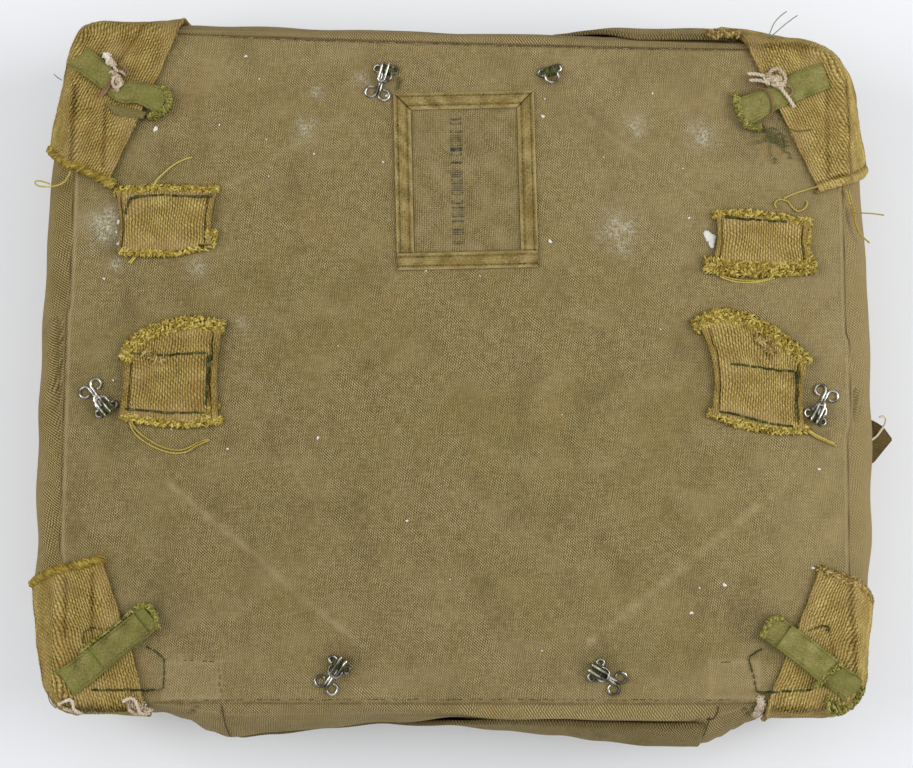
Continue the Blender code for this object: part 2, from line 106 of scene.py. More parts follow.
table_top, table_tree, table_shader = new_material("Matt laminate", base_color=linear(TABLE_COLOUR),
                                                   roughness=0.9, specular_ior_level=0.1)
grain = add_node(table_tree, "TexNoise", {"Scale": 9.0, "Detail": 6.0})
mottle = tinted(table_tree, linear("e6e8eb"), grain, "e9eaec")
table_tree.links.new(mottle, table_shader.inputs["Base Color"])
table_shader.inputs["Emission Color"].default_value = linear(TABLE_COLOUR)
table_shader.inputs["Emission Strength"].default_value = TABLE_GLOW
table_mesh = bpy.data.meshes.new("table")
table_mesh.from_pydata([(x * TABLE_HALF, y * TABLE_HALF, 0)
                        for x, y in ((-1, -1), (1, -1), (1, 1), (-1, 1))], [], [(0, 1, 2, 3)])
table_mesh.materials.append(table_top)
table = link_object("table", table_mesh)

Lamp = namedtuple("Lamp", "name place size power")
LAMPS = (
    Lamp("left_softbox", (-1.25, 0.10, 1.15), 1.0, 10.9),
    Lamp("right_softbox", (1.25, 0.10, 1.15), 1.0, 13.9),
    Lamp("front_softbox", (0.10, -1.30, 0.70), 1.0, 1.7),
    Lamp("overhead", (0.0, 0.20, 1.9), 1.4, 3.8),
)
for lamp in LAMPS:
    light = bpy.data.lights.new(lamp.name, "AREA")
    light.size = lamp.size
    light.energy = lamp.power
    bulb = link_object(lamp.name, light)
    bulb.location = lamp.place
    bulb.rotation_euler = (-Vector(lamp.place)).to_track_quat("-Z", "Y").to_euler()

scene = bpy.context.scene
scene.world = bpy.data.worlds.new("Room")
scene.world.use_nodes = True
sky = scene.world.node_tree.nodes["Background"].inputs
sky["Color"].default_value = linear("f2f5fa")
sky["Strength"].default_value = SKY_STRENGTH
scene.view_settings.view_transform = "Standard"

lens = bpy.data.cameras.new("Camera")
lens.lens = LENS
camera = link_object("Camera", lens)
camera.location = CAMERA_PLACE
camera.rotation_euler = (math.radians(CAMERA_TILT), 0, 0)
scene.camera = camera

# ------------------------------------------------------------------ the filled pack
# A cotton duck cover over the folded canopy: a crowned seat panel sewn to walls that swell out
# below its seam. On the front and rear the wall is creased into a lip under the seam.
SEAM_HEIGHT = 0.092
CROWN = 0.0045
RIPPLE = 0.0009
RIPPLE_LENGTH = 0.150
FACE_MIDDLE = (-0.0045, 0.0020)
FACE_HALF = (0.1835, 0.1560)
Corner = namedtuple("Corner", "x y radius")
CORNERS = (
    Corner(-0.1880, -0.1525, 0.012), Corner(0.1761, -0.1530, 0.012),
    Corner(0.1755, 0.1525, 0.020), Corner(-0.1830, 0.1630, 0.011),
)
SIDES = ("front", "right", "rear", "left")
BOW = {"front": 0.0005, "right": 0.0006, "rear": -0.0012, "left": 0.0004}

# Where a side seam steps out a little, from one place along it to another.
Jog = namedtuple("Jog", "side first last step")
JOGS = (Jog("left", -0.085, 0.0300, 0.0012), Jog("right", -0.0270, 0.0165, 0.0016))
JOG_REACH = 0.0015

# Along each side: how far the wall swells out past the seam, how wide the lip under the seam is,
# and how deep the crease below the lip is, from 0, none, to 1: rows of along, swell, lip, crease.
FOLDS = {                  # lengths in millimetres
    "front": (
        (-170, 5, 1, 0.2), (-144, 6.8, 2, 0.0), (-133, 11, 3, 0.0), (-123, 16.2, 5, 0.0),
        (-113, 18.8, 7, 0.0), (-94, 17, 8, 0.0), (-66, 14, 8.5, 0.0), (-35, 11.2, 8, 0.1),
        (-9, 9.8, 7.5, 0.5), (16, 11.8, 7, 0.9), (43, 15, 6.8, 1.0), (64, 18, 7.2, 1.0),
        (88, 20.4, 8, 1.0), (103, 20.8, 8.5, 0.8), (110, 22.6, 8, 0.1), (114, 22.2, 7, 0.0),
        (121, 19.2, 5, 0.0), (127, 15.4, 3, 0.0), (134, 11.6, 2, 0.0), (143, 6.6, 1, 0.1),
    ),
    "right": (
        (-140, 13.4, 1.2, 0.6), (-77, 18.2, 1.4, 0.9), (-30, 19.8, 1.6, 1.0), (25, 19.8, 1.6, 1.0),
        (94, 16.6, 1.4, 0.9), (135, 13, 0.8, 0.4),
    ),
    "rear": (
        (160, 10.5, 1, 0.2), (132, 16, 3.6, 0.3), (112, 16.5, 4.2, 0.1), (76, 15, 5.8, 0.1),
        (50, 13.4, 6.6, 0.3), (30, 14.6, 6.4, 0.6), (-10, 13.8, 6, 0.5), (-67, 13.8, 5, 0.5),
        (-129, 13, 3, 0.3), (-165, 8.5, 1, 0.2),
    ),
    "left": (
        (148, 13.8, 0.8, 0.4), (120, 17.6, 1.2, 0.8), (60, 20.6, 1.6, 1.0), (-10, 21.2, 1.6, 1.0),
        (-92, 20.8, 1.4, 0.9), (-125, 19.8, 0.8, 0.5), (-140, 16, 0.8, 0.4),
    ),
}

# Soft folds pulled into the walls, laid out on the unfolded cover, in millimetres. Below 0 they
# sink in.
Dent = namedtuple("Dent", "start end height width")
DENTS = (
    Dent((-197.5, 31), (-198, -17), 2.4, 2.2),
    Dent((-201.8, 28), (-202.2, -17), -3.4, 2.6),
    Dent((-200, -25), (-199, -70), 0.8, 3),
    Dent((192.2, -6), (189.2, -22.5), -3.4, 2),
    Dent((187.6, -2), (186, -28), 1.2, 1.8),
    Dent((126, -155), (133, -168), -2, 0.9),
    Dent((130, -154), (138.5, -164), -1.6, 0.8),
    Dent((-124, -154.5), (-130, -166), -1, 0.9),
)

# Plain wall section from the seam down: height, share of the swell, set-in.
WALL = np.array((
    (0.0920, 0.00, 0.000), (0.0868, 0.30, 0.000), (0.0770, 0.64, 0.000), (0.0630, 0.90, 0.000),
    (0.0460, 1.00, 0.000), (0.0300, 0.95, 0.000), (0.0160, 0.78, 0.001), (0.0060, 0.50, 0.003),
    (0.0012, 0.22, 0.006), (0.0000, 0.00, 0.010),
))


MM = 0.001


def metres(rows):
    """Rows of millimetres, in metres."""
    return np.array(rows) * MM


def ease(share):
    """A share from 0 to 1 that starts and ends gently."""
    return share * share * (3 - 2 * share)


def smooth_rows(rows, at):
    """Values between the rows of a table on a smooth curve. at counts rows from the first."""
    rows, at = np.asarray(rows, float), np.asarray(at, float)
    base = np.clip(np.floor(at).astype(int), 0, len(rows) - 2)
    share = (at - base).reshape(at.shape + (1,) * (rows.ndim - 1))
    a, b, c, d = (rows[np.clip(base + step, 0, len(rows) - 1)] for step in (-1, 0, 1, 2))
    return (2 * b + (c - a) * share + (2 * a - 5 * b + 4 * c - d) * share ** 2
            + (3 * b - a - 3 * c + d) * share ** 3) / 2


def fold_at(side, along):
    """Swell, lip and crease of one side at a place along it, eased from fold to fold."""
    rows = np.array(sorted(FOLDS[side])) * (MM, MM, MM, 1)
    spot = np.interp(along, rows[:, 0], range(len(rows)))
    low = min(int(spot), len(rows) - 2)
    first, second = rows[low, 1:], rows[low + 1, 1:]
    return first + (second - first) * ease(spot - low)


def fillet(index):
    """Centre, first angle and turn of the arc that rounds one corner."""
    tip, before, after = (Vector(CORNERS[place % 4][:2]) for place in (index, index - 1, index + 1))
    arriving, leaving = (tip - before).normalized(), (after - tip).normalized()
    radius = CORNERS[index].radius
    turn = arriving.angle(leaving)
    start = tip - arriving * radius * math.tan(turn / 2)
    centre = start + Vector((-arriving.y, arriving.x)) * radius
    return centre, math.atan2(start.y - centre.y, start.x - centre.x), turn


def on_arc(index, share):
    """A point on the rounded corner of that index, and the way out of the pack there."""
    centre, first, turn = fillet(index)
    out = Vector((math.cos(first + turn * share), math.sin(first + turn * share)))
    return centre + out * CORNERS[index].radius, out


def seam_line(side_steps, corner_steps):
    """Stations round the seat face, as rows of x, y, outward x and y, swell, lip and crease."""
    rows = []
    for index, side in enumerate(SIDES):
        following = (index + 1) % 4
        (start, out_start), (end, out_end) = on_arc(index, 1), on_arc(following, 0)
        out = (out_start + out_end).normalized()
        axis = 0 if side in ("front", "rear") else 1
        for step in range(side_steps):
            share = step / side_steps
            point = start.lerp(end, share) + out * BOW[side] * (1 - (2 * share - 1) ** 2)
            stride = sum(jog.step * (math.tanh((point[axis] - jog.first) / JOG_REACH)
                                     - math.tanh((point[axis] - jog.last) / JOG_REACH)) / 2
                         for jog in JOGS if jog.side == side)
            swell, lip, crease = fold_at(side, point[axis])
            # only the seam steps out: the wall below it keeps its line
            rows.append((*(point + out * stride), *out, swell - stride, lip, crease))
        last = fold_at(side, end[axis])
        first = fold_at(SIDES[following], on_arc(following, 1)[0][1 - axis])
        for step in range(corner_steps):
            share = step / corner_steps
            point, out_corner = on_arc(following, share)
            rows.append((*point, *out_corner, *(last + (first - last) * ease(share))))
    return np.array(rows)


FINE_SEAM = seam_line(180, 16)
BATCH = 4096               # points compared with every station at a time


def nearest_station(x, y):
    """Seam rows nearest to the points, and how far outside the seam each point lies."""
    found = np.concatenate([
        np.argmin((x[part:part + BATCH, None] - FINE_SEAM[:, 0]) ** 2
                  + (y[part:part + BATCH, None] - FINE_SEAM[:, 1]) ** 2, axis=1)
        for part in range(0, len(x), BATCH)])

    def past_normal(row):
        return (y - row[:, 1]) * row[:, 2] - (x - row[:, 0]) * row[:, 3]

    here = FINE_SEAM[found]
    step = past_normal(here)
    other = FINE_SEAM[(found + np.where(step > 0, 1, -1)) % len(FINE_SEAM)]
    share = np.clip(step / (step - past_normal(other)), 0, 1)[:, None]
    row = here + (other - here) * share
    return row, (x - row[:, 0]) * row[:, 2] + (y - row[:, 1]) * row[:, 3]


FINE_WALL = smooth_rows(WALL, np.linspace(0, len(WALL) - 1, 150))


def face_height(x, y):
    """Crowned seat face with its shallow waves."""
    across, along = (np.minimum(np.abs(place - middle) / half, 1) ** 4
                     for place, middle, half in zip((x, y), FACE_MIDDLE, FACE_HALF))
    turn = 2 * math.pi / RIPPLE_LENGTH
    wave = np.sin(turn * (x + 0.6 * y)) * np.cos(turn * (0.8 * y - 0.3 * x) + 1)
    return SEAM_HEIGHT + (1 - across) * (1 - along) * (CROWN + RIPPLE * wave)


def cover_at(x, y):
    """Points of the pack for points of the unfolded cover: past the seam, cloth runs down."""
    row, distance = nearest_station(x, y)
    points = np.stack([x, y, face_height(x, y)], axis=1)
    outside = distance > 0
    row, distance = row[outside], distance[outside]
    out = FINE_WALL[:, 1] * row[:, 4:5] - FINE_WALL[:, 2]
    height = np.maximum(FINE_WALL[:, 0], 0)
    pieces = np.hypot(np.diff(out, axis=1), np.diff(height))
    run = np.concatenate([np.zeros((len(row), 1)), np.cumsum(pieces, axis=1)], axis=1)
    high = np.clip((run < distance[:, None]).sum(axis=1), 1, run.shape[1] - 1)
    pick = np.arange(len(row))
    share = np.clip((distance - run[pick, high - 1]) / pieces[pick, high - 1], 0, 1)
    stand_out = out[pick, high - 1] + (out[pick, high] - out[pick, high - 1]) * share
    points[outside, 0] = row[:, 0] + row[:, 2] * stand_out
    points[outside, 1] = row[:, 1] + row[:, 3] * stand_out
    points[outside, 2] = height[high - 1] + (height[high] - height[high - 1]) * share
    return points


def cover_normal(x, y, reach=0.0015):
    """The way up from the cover at each place."""
    run_x = cover_at(x + reach, y) - cover_at(x - reach, y)
    run_y = cover_at(x, y + reach) - cover_at(x, y - reach)
    across = np.cross(run_x, run_y)
    return across / np.linalg.norm(across, axis=1, keepdims=True)


def bell(offset, width):
    """Smooth bump, 1 at no offset, that fades over about this width."""
    return np.exp(-(offset / width) ** 2)


WAVE_COUNT = 7


def waves(x, y, length, seed):
    """Soft random waves of about this length, from -1 to 1."""
    random = np.random.default_rng(seed)
    total = np.zeros_like(x)
    for _ in range(WAVE_COUNT):
        angle, phase = random.uniform(0, math.tau), random.uniform(0, math.tau)
        turn = math.tau / (length * random.uniform(0.7, 1.6))
        total += np.sin(turn * (x * math.cos(angle) + y * math.sin(angle)) + phase)
    return total / (WAVE_COUNT / 2)


def near_line(x, y, start, end):
    """Distance to a straight line between two places in millimetres, and the share along it."""
    start, end = metres((start, end))
    run = np.subtract(end, start)
    share = np.clip(((x - start[0]) * run[0] + (y - start[1]) * run[1]) / (run @ run), 0, 1)
    return np.hypot(x - start[0] - run[0] * share, y - start[1] - run[1] * share), share


# Soft creases that the folded canopy has worn into the seat face, in millimetres but for wear.
Crease = namedtuple("Crease", "start end height width wear")
CREASES = (
    Crease((-152, -40), (-52, -124), 0.5, 2.2, 0.70),
    Crease((55, -126), (150, -50), 0.5, 2.2, 0.70),
    Crease((-150, 64), (-56, 122), 0.4, 2.4, 0.40),
    Crease((45, 128), (110, 80), 0.4, 2.2, 0.45),
)

# Chalky smudges: middle and radius in millimetres, and strength.
Smudge = namedtuple("Smudge", "x y radius strength")
SMUDGES = (
    Smudge(-169, 70, 7.5, 0.9), Smudge(-164, 51, 3, 0.6), Smudge(-126, 48, 4, 0.5),
    Smudge(-76, 114, 4.5, 0.6), Smudge(-50, 139, 3.5, 0.5), Smudge(-71, 132, 3, 0.5),
    Smudge(79, 116, 5, 0.5), Smudge(110, 112, 5.5, 0.7), Smudge(70, 67, 7, 0.7),
    Smudge(72, 60, 4.5, 0.5), Smudge(-105, 24, 3.5, 0.4),
)
# Darker places round the hooks and at the sewn pieces.
DARK_SPOTS = (
    Smudge(-57.5, -134, 8.5, 0.30), Smudge(61, -136, 9, 0.32), Smudge(-38.5, 137, 7, 0.26),
    Smudge(38.5, 142, 6, 0.24), Smudge(-170, -15, 8, 0.28), Smudge(164, -16, 8, 0.30),
    Smudge(-156, 30, 6, 0.20), Smudge(100, 10, 5.5, 0.18), Smudge(-134.5, -109, 10, 0.20),
    Smudge(129, -112, 10, 0.22), Smudge(-143, 104, 9, 0.16), Smudge(129, 106, 8, 0.16),
)
# Inner patches at the front corners, whose edges have rubbed: x from and to, y from and to, in
# millimetres.
PATCHES = ((-139.8, -114, -150.5, -133.3), (111, 134, -150.5, -133.6))


def radii_out(x, y, smudge, ragged):
    """How many radii away from a smudge the places lie. ragged varies its edge."""
    return np.hypot(x - smudge.x * MM, y - smudge.y * MM) / (smudge.radius * MM) + ragged


def dented(x, y, dent, narrow=1.0):
    """How fully a fold of the wall is formed at these places, from 0 to 1."""
    gap, share = near_line(x, y, dent.start, dent.end)
    return bell(gap, dent.width * MM * narrow) * np.sin(math.pi * share) ** 0.5


# The cover's mesh: rows of the wall section that get a ring, insets of the rings inside the seam,
# and the spacing of the grid over the face.
WALL_LEVELS = np.concatenate([np.linspace(0, 6, 19), np.linspace(6.2, 9.4, 17),
                              np.linspace(9.8, 14, 12)])
RIM_INSETS = (0.0004, 0.0008, 0.0013, 0.0019, 0.0026, 0.0036)
GRID = 0.0020
GRID_SPAN = ((-0.190, 0.180), (-0.156, 0.166))
SIDE_STEPS, CORNER_STEPS = 160, 14
WALL_WEAVE = 0.42          # how much longer the weave is drawn down the walls


# The wall's upper rows: height on a plain wall, then on a lipped one how far they stand out, as a
# share of the lip and a length past it, their height, and the share of the lip that they drop by.
LipRow = namedtuple("LipRow", "plain share past height drop")
LIP_ROWS = (
    LipRow(0.0920, 0.00, 0.0, 0.0920, 0.00), LipRow(0.0911, 0.45, 0.0, 0.0917, 0.06),
    LipRow(0.0900, 0.90, 0.0, 0.0913, 0.16), LipRow(0.0888, 1.00, 0.0004, 0.0904, 0.20),
    LipRow(0.0874, 1.00, 0.0, 0.0893, 0.20), LipRow(0.0855, 1.00, -0.0016, 0.0872, 0.20),
    LipRow(0.0820, 1.00, 0.0008, 0.0838, 0.15),
)
SWELL_UNDER_LIP = 0.26


def lipped_wall(stations):
    """Wall section rows from the seam to the foot, with the lip and the crease under it."""
    swell, lip, crease = stations[:, 4:7].T
    rows = []
    for row in LIP_ROWS:
        plain = np.interp(row.plain, WALL[::-1, 0], WALL[::-1, 1]) * swell
        out = row.share * lip + row.past
        if row is LIP_ROWS[-1]:
            out = np.maximum(SWELL_UNDER_LIP * swell, out)
        height = row.plain * (1 - crease) + (row.height - row.drop * lip) * crease
        rows.append((plain * (1 - crease) + out * crease, height))
    for height, share, inset in WALL[2:]:
        rows.append((share * swell - inset, np.full(len(swell), height)))
    return np.array(rows).transpose(0, 2, 1)


PULL_FADE = (0.018, 0.012)     # lengths below the seam and above the foot over which folds form


def wall_rings(stations):
    """Rings of points down the wall, and the same rings on the cloth laid flat."""
    x, y, out_x, out_y = stations[:, :4].T
    along = np.cumsum(np.hypot(x - np.roll(x, 1), y - np.roll(y, 1)))
    section = smooth_rows(lipped_wall(stations), WALL_LEVELS)
    out, height = section[..., 0], np.maximum(section[..., 1], 0)
    steps = np.hypot(np.diff(out, axis=0), np.diff(height, axis=0))
    run = np.concatenate([np.zeros((1, len(x))), np.cumsum(steps, axis=0)])
    # the cloth pulls between the seam and the foot, in long leaning folds
    fade = np.clip(run / PULL_FADE[0], 0, 1) * np.clip(height / PULL_FADE[1], 0, 1)
    pull = waves(np.broadcast_to(along, run.shape) + 0.35 * run, run * 0.4, 0.030, 3)
    sag = waves(np.broadcast_to(along, run.shape), run * 1.5, 0.075, 8)
    out = out + fade * (0.0006 * pull + 0.0004 * sag - 0.0005)
    for dent in DENTS:
        out = out + dent.height * MM * dented(x + out_x * run, y + out_y * run, dent)
    rings = np.stack([x + out_x * out, y + out_y * out, height], axis=2)
    plans = np.stack([x + out_x * run, y + out_y * run, run], axis=2)
    return list(rings), list(plans)


def build_cover():
    """Closed mesh: rings down the wall, rings just inside the seam, and a grid over the face."""
    stations = seam_line(SIDE_STEPS, CORNER_STEPS)
    count = len(stations)
    x, y, out_x, out_y = stations[:, :4].T
    rings, plans = (levels[::-1] for levels in wall_rings(stations))
    for inset in RIM_INSETS:
        inner = np.stack([x - out_x * inset, y - out_y * inset], axis=1)
        rings.append(np.column_stack([inner, face_height(*inner.T)]))
        plans.append(np.column_stack([inner, 0 * x]))
    points, plan = np.concatenate(rings), np.concatenate(plans)
    faces = []
    for ring in range(len(rings) - 1):
        low, high = ring * count, (ring + 1) * count
        faces += [(low + here, low + (here + 1) % count, high + (here + 1) % count, high + here)
                  for here in range(count)]
    faces.append(tuple(reversed(range(count))))
    edge_start = (len(rings) - 1) * count
    grid_x, grid_y = (part.ravel() for part in np.meshgrid(
        *(np.arange(first, last, GRID) for first, last in GRID_SPAN)))
    inside = nearest_station(grid_x, grid_y)[1] < -RIM_INSETS[-1] - 0.6 * GRID
    grid = np.stack([grid_x[inside], grid_y[inside]], axis=1)
    flat = [Vector(place) for place in np.concatenate([points[edge_start:, :2], grid])]
    ring_edges = [(here, (here + 1) % count) for here in range(count)]
    laid = delaunay_2d_cdt(flat, ring_edges, [], 1, 1e-7)
    faces += [tuple(edge_start + corner for corner in face) for face in laid[2]]
    points = np.concatenate([points, np.column_stack([grid, face_height(*grid.T)])])
    plan = np.concatenate([plan, np.column_stack([grid, 0 * grid[:, 0]])])
    return points, faces, plan


def put_piece(name, points, faces, material, **values):
    """Smooth mesh piece that rides with the pack. values are its attributes, one row a point."""
    mesh = bpy.data.meshes.new(name)
    mesh.from_pydata(points.tolist(), [], faces)
    mesh.validate()
    for key, rows in values.items():
        rows = np.asarray(rows, np.float32)
        kind, field = ("FLOAT", "value") if rows.ndim == 1 else ("FLOAT_VECTOR", "vector")
        mesh.attributes.new(key, kind, "POINT").data.foreach_set(field, rows.ravel())
    mesh.shade_smooth()
    mesh.materials.append(material)
    piece = link_object(name, mesh)
    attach(piece, "root")
    return piece


def compute(tree, operation, *values):
    """Math node, whose sockets take the values in turn."""
    return add_node(tree, "Math", dict(enumerate(values)), operation=operation)


def attribute(tree, name, output="Fac"):
    """An output of the node that reads a mesh attribute."""
    return add_node(tree, "Attribute", attribute_name=name).outputs[output]


def colour_ramp(tree, level, dark, light, middle=None, low=0.0, high=1.0):
    """Ramp between two hex colours, past a middle one if there is one."""
    ramp = add_node(tree, "ValToRGB", {0: level})
    ends = ramp.color_ramp.elements
    ends[0].position, ends[1].position = low, high
    ends[0].color, ends[1].color = linear(dark), linear(light)
    if middle:
        ends.new(0.5).color = linear(middle)
    return ramp


def duck_canvas():
    """Cotton duck: a tight plain weave, matt, faded to a pinkish khaki where it is rubbed.

    Its yarns lie about 0.45 mm apart. They are drawn twice as wide, so that they show.
    """
    material, tree, shader = new_material("Cotton duck", roughness=0.92, specular_ior_level=0.12)
    cloth = attribute(tree, "cloth", "Vector")
    drift = add_node(tree, "TexNoise", {"Vector": cloth, "Scale": 40.0, "Detail": 3.0})
    shifted = add_node(tree, "VectorMath", {0: drift.outputs["Color"], 1: (0.0030,) * 3, 2: cloth},
                       operation="MULTIPLY_ADD")

    def weave_wave(cycles_x, cycles_y):
        """Cosine across the cloth with this many cycles a millimetre each way."""
        cycles = (cycles_x * math.tau * 1000, cycles_y * math.tau * 1000, 0)
        turn = add_node(tree, "VectorMath", {0: shifted, 1: cycles}, operation="DOT_PRODUCT")
        return compute(tree, "COSINE", turn.outputs["Value"])

    def patches(across, along, low, high, floor, top):
        """Soft patches of this size in metres, from floor to top."""
        stretched = add_node(tree, "Mapping", {"Vector": cloth,
                                               "Scale": (1 / across, 1 / along, 1)})
        noise = add_node(tree, "TexNoise", {"Vector": stretched, "Scale": 1.0, "Detail": 2.0})
        return add_node(tree, "MapRange", {"Value": noise, "From Min": low, "From Max": high,
                                           "To Min": floor, "To Max": top})

    # of the two diagonals of a plain weave, the twist of the yarns makes one stand out
    relief = 0.0
    for wave, strength in ((weave_wave(0.74, 0.80), patches(0.009, 0.006, 0.36, 0.64, 0.55, 1.45)),
                           (weave_wave(0.94, -0.16), patches(0.005, 0.008, 0.38, 0.62, 0.12, 0.85)),
                           (weave_wave(0.60, -0.62), patches(0.004, 0.004, 0.42, 0.62, 0.0, 0.60))):
        relief = compute(tree, "MULTIPLY_ADD", wave, strength, relief)
    slubs = compute(tree, "ADD", patches(0.0010, 0.005, 0.3, 0.7, -0.3, 0.3),
                    patches(0.005, 0.0010, 0.3, 0.7, -0.3, 0.3))
    # the walls are seen slantwise from above, and their weave is drawn stronger for that
    fresh = attribute(tree, "fresh")
    drawn = compute(tree, "MULTIPLY_ADD", fresh, 3.4, 0.85)
    # the weave's relief sets its colour too: painted shade between the yarns and a painted
    # highlight on their crests, drawn stronger on the walls
    light = compute(tree, "MULTIPLY_ADD", relief, drawn, slubs)
    level = add_node(tree, "MapRange", {"Value": light, "From Min": -1.85, "From Max": 1.85})
    # chalk lies on the crests of the weave, in specks
    specks = compute(tree, "MULTIPLY", attribute(tree, "chalk"),
                     patches(0.0013, 0.0013, 0.40, 0.62, 0.10, 1.15))
    # sun-faded and pinkish towards the edges, greener in the middle, with broad stains; the walls
    # have kept more of their golden colour
    colour = colour_ramp(tree, level, "3a2f17", "d3c38e", "837147")
    for factor, tint in ((patches(0.070, 0.050, 0.42, 0.66, 0.0, 0.24), "7a7038"),
                         (patches(0.030, 0.040, 0.50, 0.70, 0.0, 0.24), "957748"),
                         (patches(0.019, 0.026, 0.50, 0.72, 0.0, 0.26), "54461f"),
                         (patches(0.028, 0.017, 0.50, 0.72, 0.0, 0.30), "a8956a"),
                         # the dark tint below is dirt and also painted shade in the seam grooves,
                         # the fold valleys, under the lip, along the flaps' upper edges and round
                         # the pocket panel. The worn tint also holds a painted highlight on the
                         # lip's edge
                         (attribute(tree, "wear"), "b8a37a"), (fresh, "84692f"),
                         (attribute(tree, "soil"), "2e230f"), (specks, "d3d1c0"),
                         (attribute(tree, "ink"), "3f4038")):
        colour = tinted(tree, colour, factor, tint)
    tree.links.new(colour, shader.inputs["Base Color"])
    bump = add_node(tree, "Bump", {"Strength": 0.5, "Distance": 0.00025, "Height": relief})
    tree.links.new(bump.outputs[0], shader.inputs["Normal"])
    return material


CANVAS = duck_canvas()
SIDE_SEAM = 0.6            # share of x in the way out, above which a seam is a side's
SEAM_LINE = 0.0008
PALE_RIGHT, PALE_LEFT, PALE_ENDS = 0.42, 0.10, 0.22        # how much paler each side is drawn
FADE_REACH = 0.040
FRESH_RIGHT, FRESH_LEFT, FRESH_ENDS = 0.26, 0.32, 0.19     # how golden each wall has stayed
RUBBED_LINE = 0.0016       # width of the line that a crease has worn
LIP_EDGE, LIP_FOOT = 0.0006, 0.0052        # below the lip's width: a painted highlight on its edge, partly rubbed wear, and painted shade at its foot
PATCH_EDGE = 0.0011
PATCH_THICKNESS = 0.0004

points, faces, plan = build_cover()
x, y = plan[:, 0], plan[:, 1]
row, distance = nearest_station(x, y)
on_face = distance <= 0
right_side, left_side = row[:, 2] > SIDE_SEAM, row[:, 2] < -SIDE_SEAM
side_seam = right_side | left_side
# the weave is drawn longer down the walls, so that it shows from above
woven = np.column_stack([plan[:, :2] - row[:, 2:4] * (WALL_WEAVE * plan[:, 2:]), 0 * x])

# a turned edge stands up inside the side seams, and stitches draw the front and rear seams in
ridge, draw = bell(distance + 0.0010, SEAM_LINE), bell(distance, SEAM_LINE)
pucker = 0.5 + 0.5 * waves(x, y, 0.007, 4)
puckered = 0.0003 * pucker * bell(np.abs(distance) - 0.002, 0.0012)
relief = 0.00035 * waves(x, y, 0.045, 5) * np.clip(-distance / 0.012, 0, 1)
relief += np.where(side_seam, 0.0006 * ridge, puckered - 0.0006 * draw * (0.5 + pucker))
worn = []
for crease in CREASES:
    gap, share = near_line(x, y, crease.start, crease.end)
    body = bell(gap, crease.width * MM) * np.sin(math.pi * share) ** 0.5
    relief += crease.height * MM * body
    worn.append(crease.wear * bell(gap, RUBBED_LINE) * (body > 0.02)
                * (0.6 + 0.4 * waves(x, y, 0.010, 2)))
points[:, 2] += np.where(on_face, relief, 0)

# how much paler each side is drawn, the right most
faded = np.where(right_side, PALE_RIGHT, np.where(left_side, PALE_LEFT, PALE_ENDS))
golden = np.where(right_side, FRESH_RIGHT, np.where(left_side, FRESH_LEFT, FRESH_ENDS))
fresh = np.where(on_face, 0.0, golden)
# painted highlight along the lip's rounded edge, partly rubbed wear
lip_edge_wear_and_highlight = bell(distance - row[:, 5] - LIP_EDGE, 0.0012) * (distance > 0) * ~side_seam
worn += [
    faded * np.exp(distance / FADE_REACH) * on_face * (0.7 + 0.3 * waves(x, y, 0.020, 9)),
    (faded - PALE_LEFT) * 1.25 * ~on_face,
    0.62 * ridge * (0.8 + 0.2 * pucker) * (side_seam & on_face),
    0.45 * lip_edge_wear_and_highlight,
    # the seat face is drawn paler towards its rear right corner
    0.17 * np.clip((x + y - 0.05) / 0.16, 0, 1) * on_face,
]
# painted shade in the crease under the lip
under_lip = bell(distance - row[:, 5] - LIP_FOOT, 0.0016) * row[:, 6] * (distance > 0)
# painted shade: the groove just outside the side seams and the drawn-in line of the front and rear
# seams are darkened
groove = bell(distance - 0.0009, 0.0006) * (0.55 + 0.45 * waves(x, y, 0.030, 33))
sewn_in = bell(distance, 0.0006) * (0.80 + 0.20 * waves(x, y, 0.026, 34))
# painted shade: the seat face is drawn darker towards the front left
soil = 0.75 * under_lip + 0.08 * np.clip(-(x + 1.4 * y) / 0.2, 0, 1) * on_face
soil += np.where(side_seam, 0.85 * groove, np.where(row[:, 3] > 0, 0.75, 0.45) * sewn_in)
# painted shade in the valleys of the folds that sink into the walls
for dent in DENTS:
    if dent.height < 0:
        soil += 0.70 * dented(x, y, dent, 0.8) * ~on_face
for dark_spot in DARK_SPOTS:
    gap = radii_out(x, y, dark_spot, 0.25 * waves(x, y, 0.012, 17))
    soil += dark_spot.strength * bell(gap, 1) * on_face
for left, right, front, rear in metres(PATCHES):
    inward = np.minimum(np.minimum(x - left, right - x), np.minimum(y - front, rear - y))
    worn.append(0.26 * (inward > -0.0005) + 0.26 * bell(inward, PATCH_EDGE))
    points[:, 2] += PATCH_THICKNESS * np.clip(inward / 0.0006 + 0.5, 0, 1) * on_face
chalk = np.zeros(len(x))
for smudge in SMUDGES:
    gap = radii_out(x, y, smudge, 0.4 * waves(x, y, 0.009, 16))
    cloud = bell(gap, 1) * (0.75 + 0.35 * waves(x, y, 0.0042, 6))
    chalk = np.maximum(chalk, smudge.strength * np.clip(cloud, 0, 1) * on_face)
wear = np.maximum.reduce(worn)
pack = put_piece("pack_cover", points, faces, CANVAS, cloth=woven, wear=wear, fresh=fresh,
                 soil=np.clip(soil, 0, 1), chalk=chalk)
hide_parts("pack")

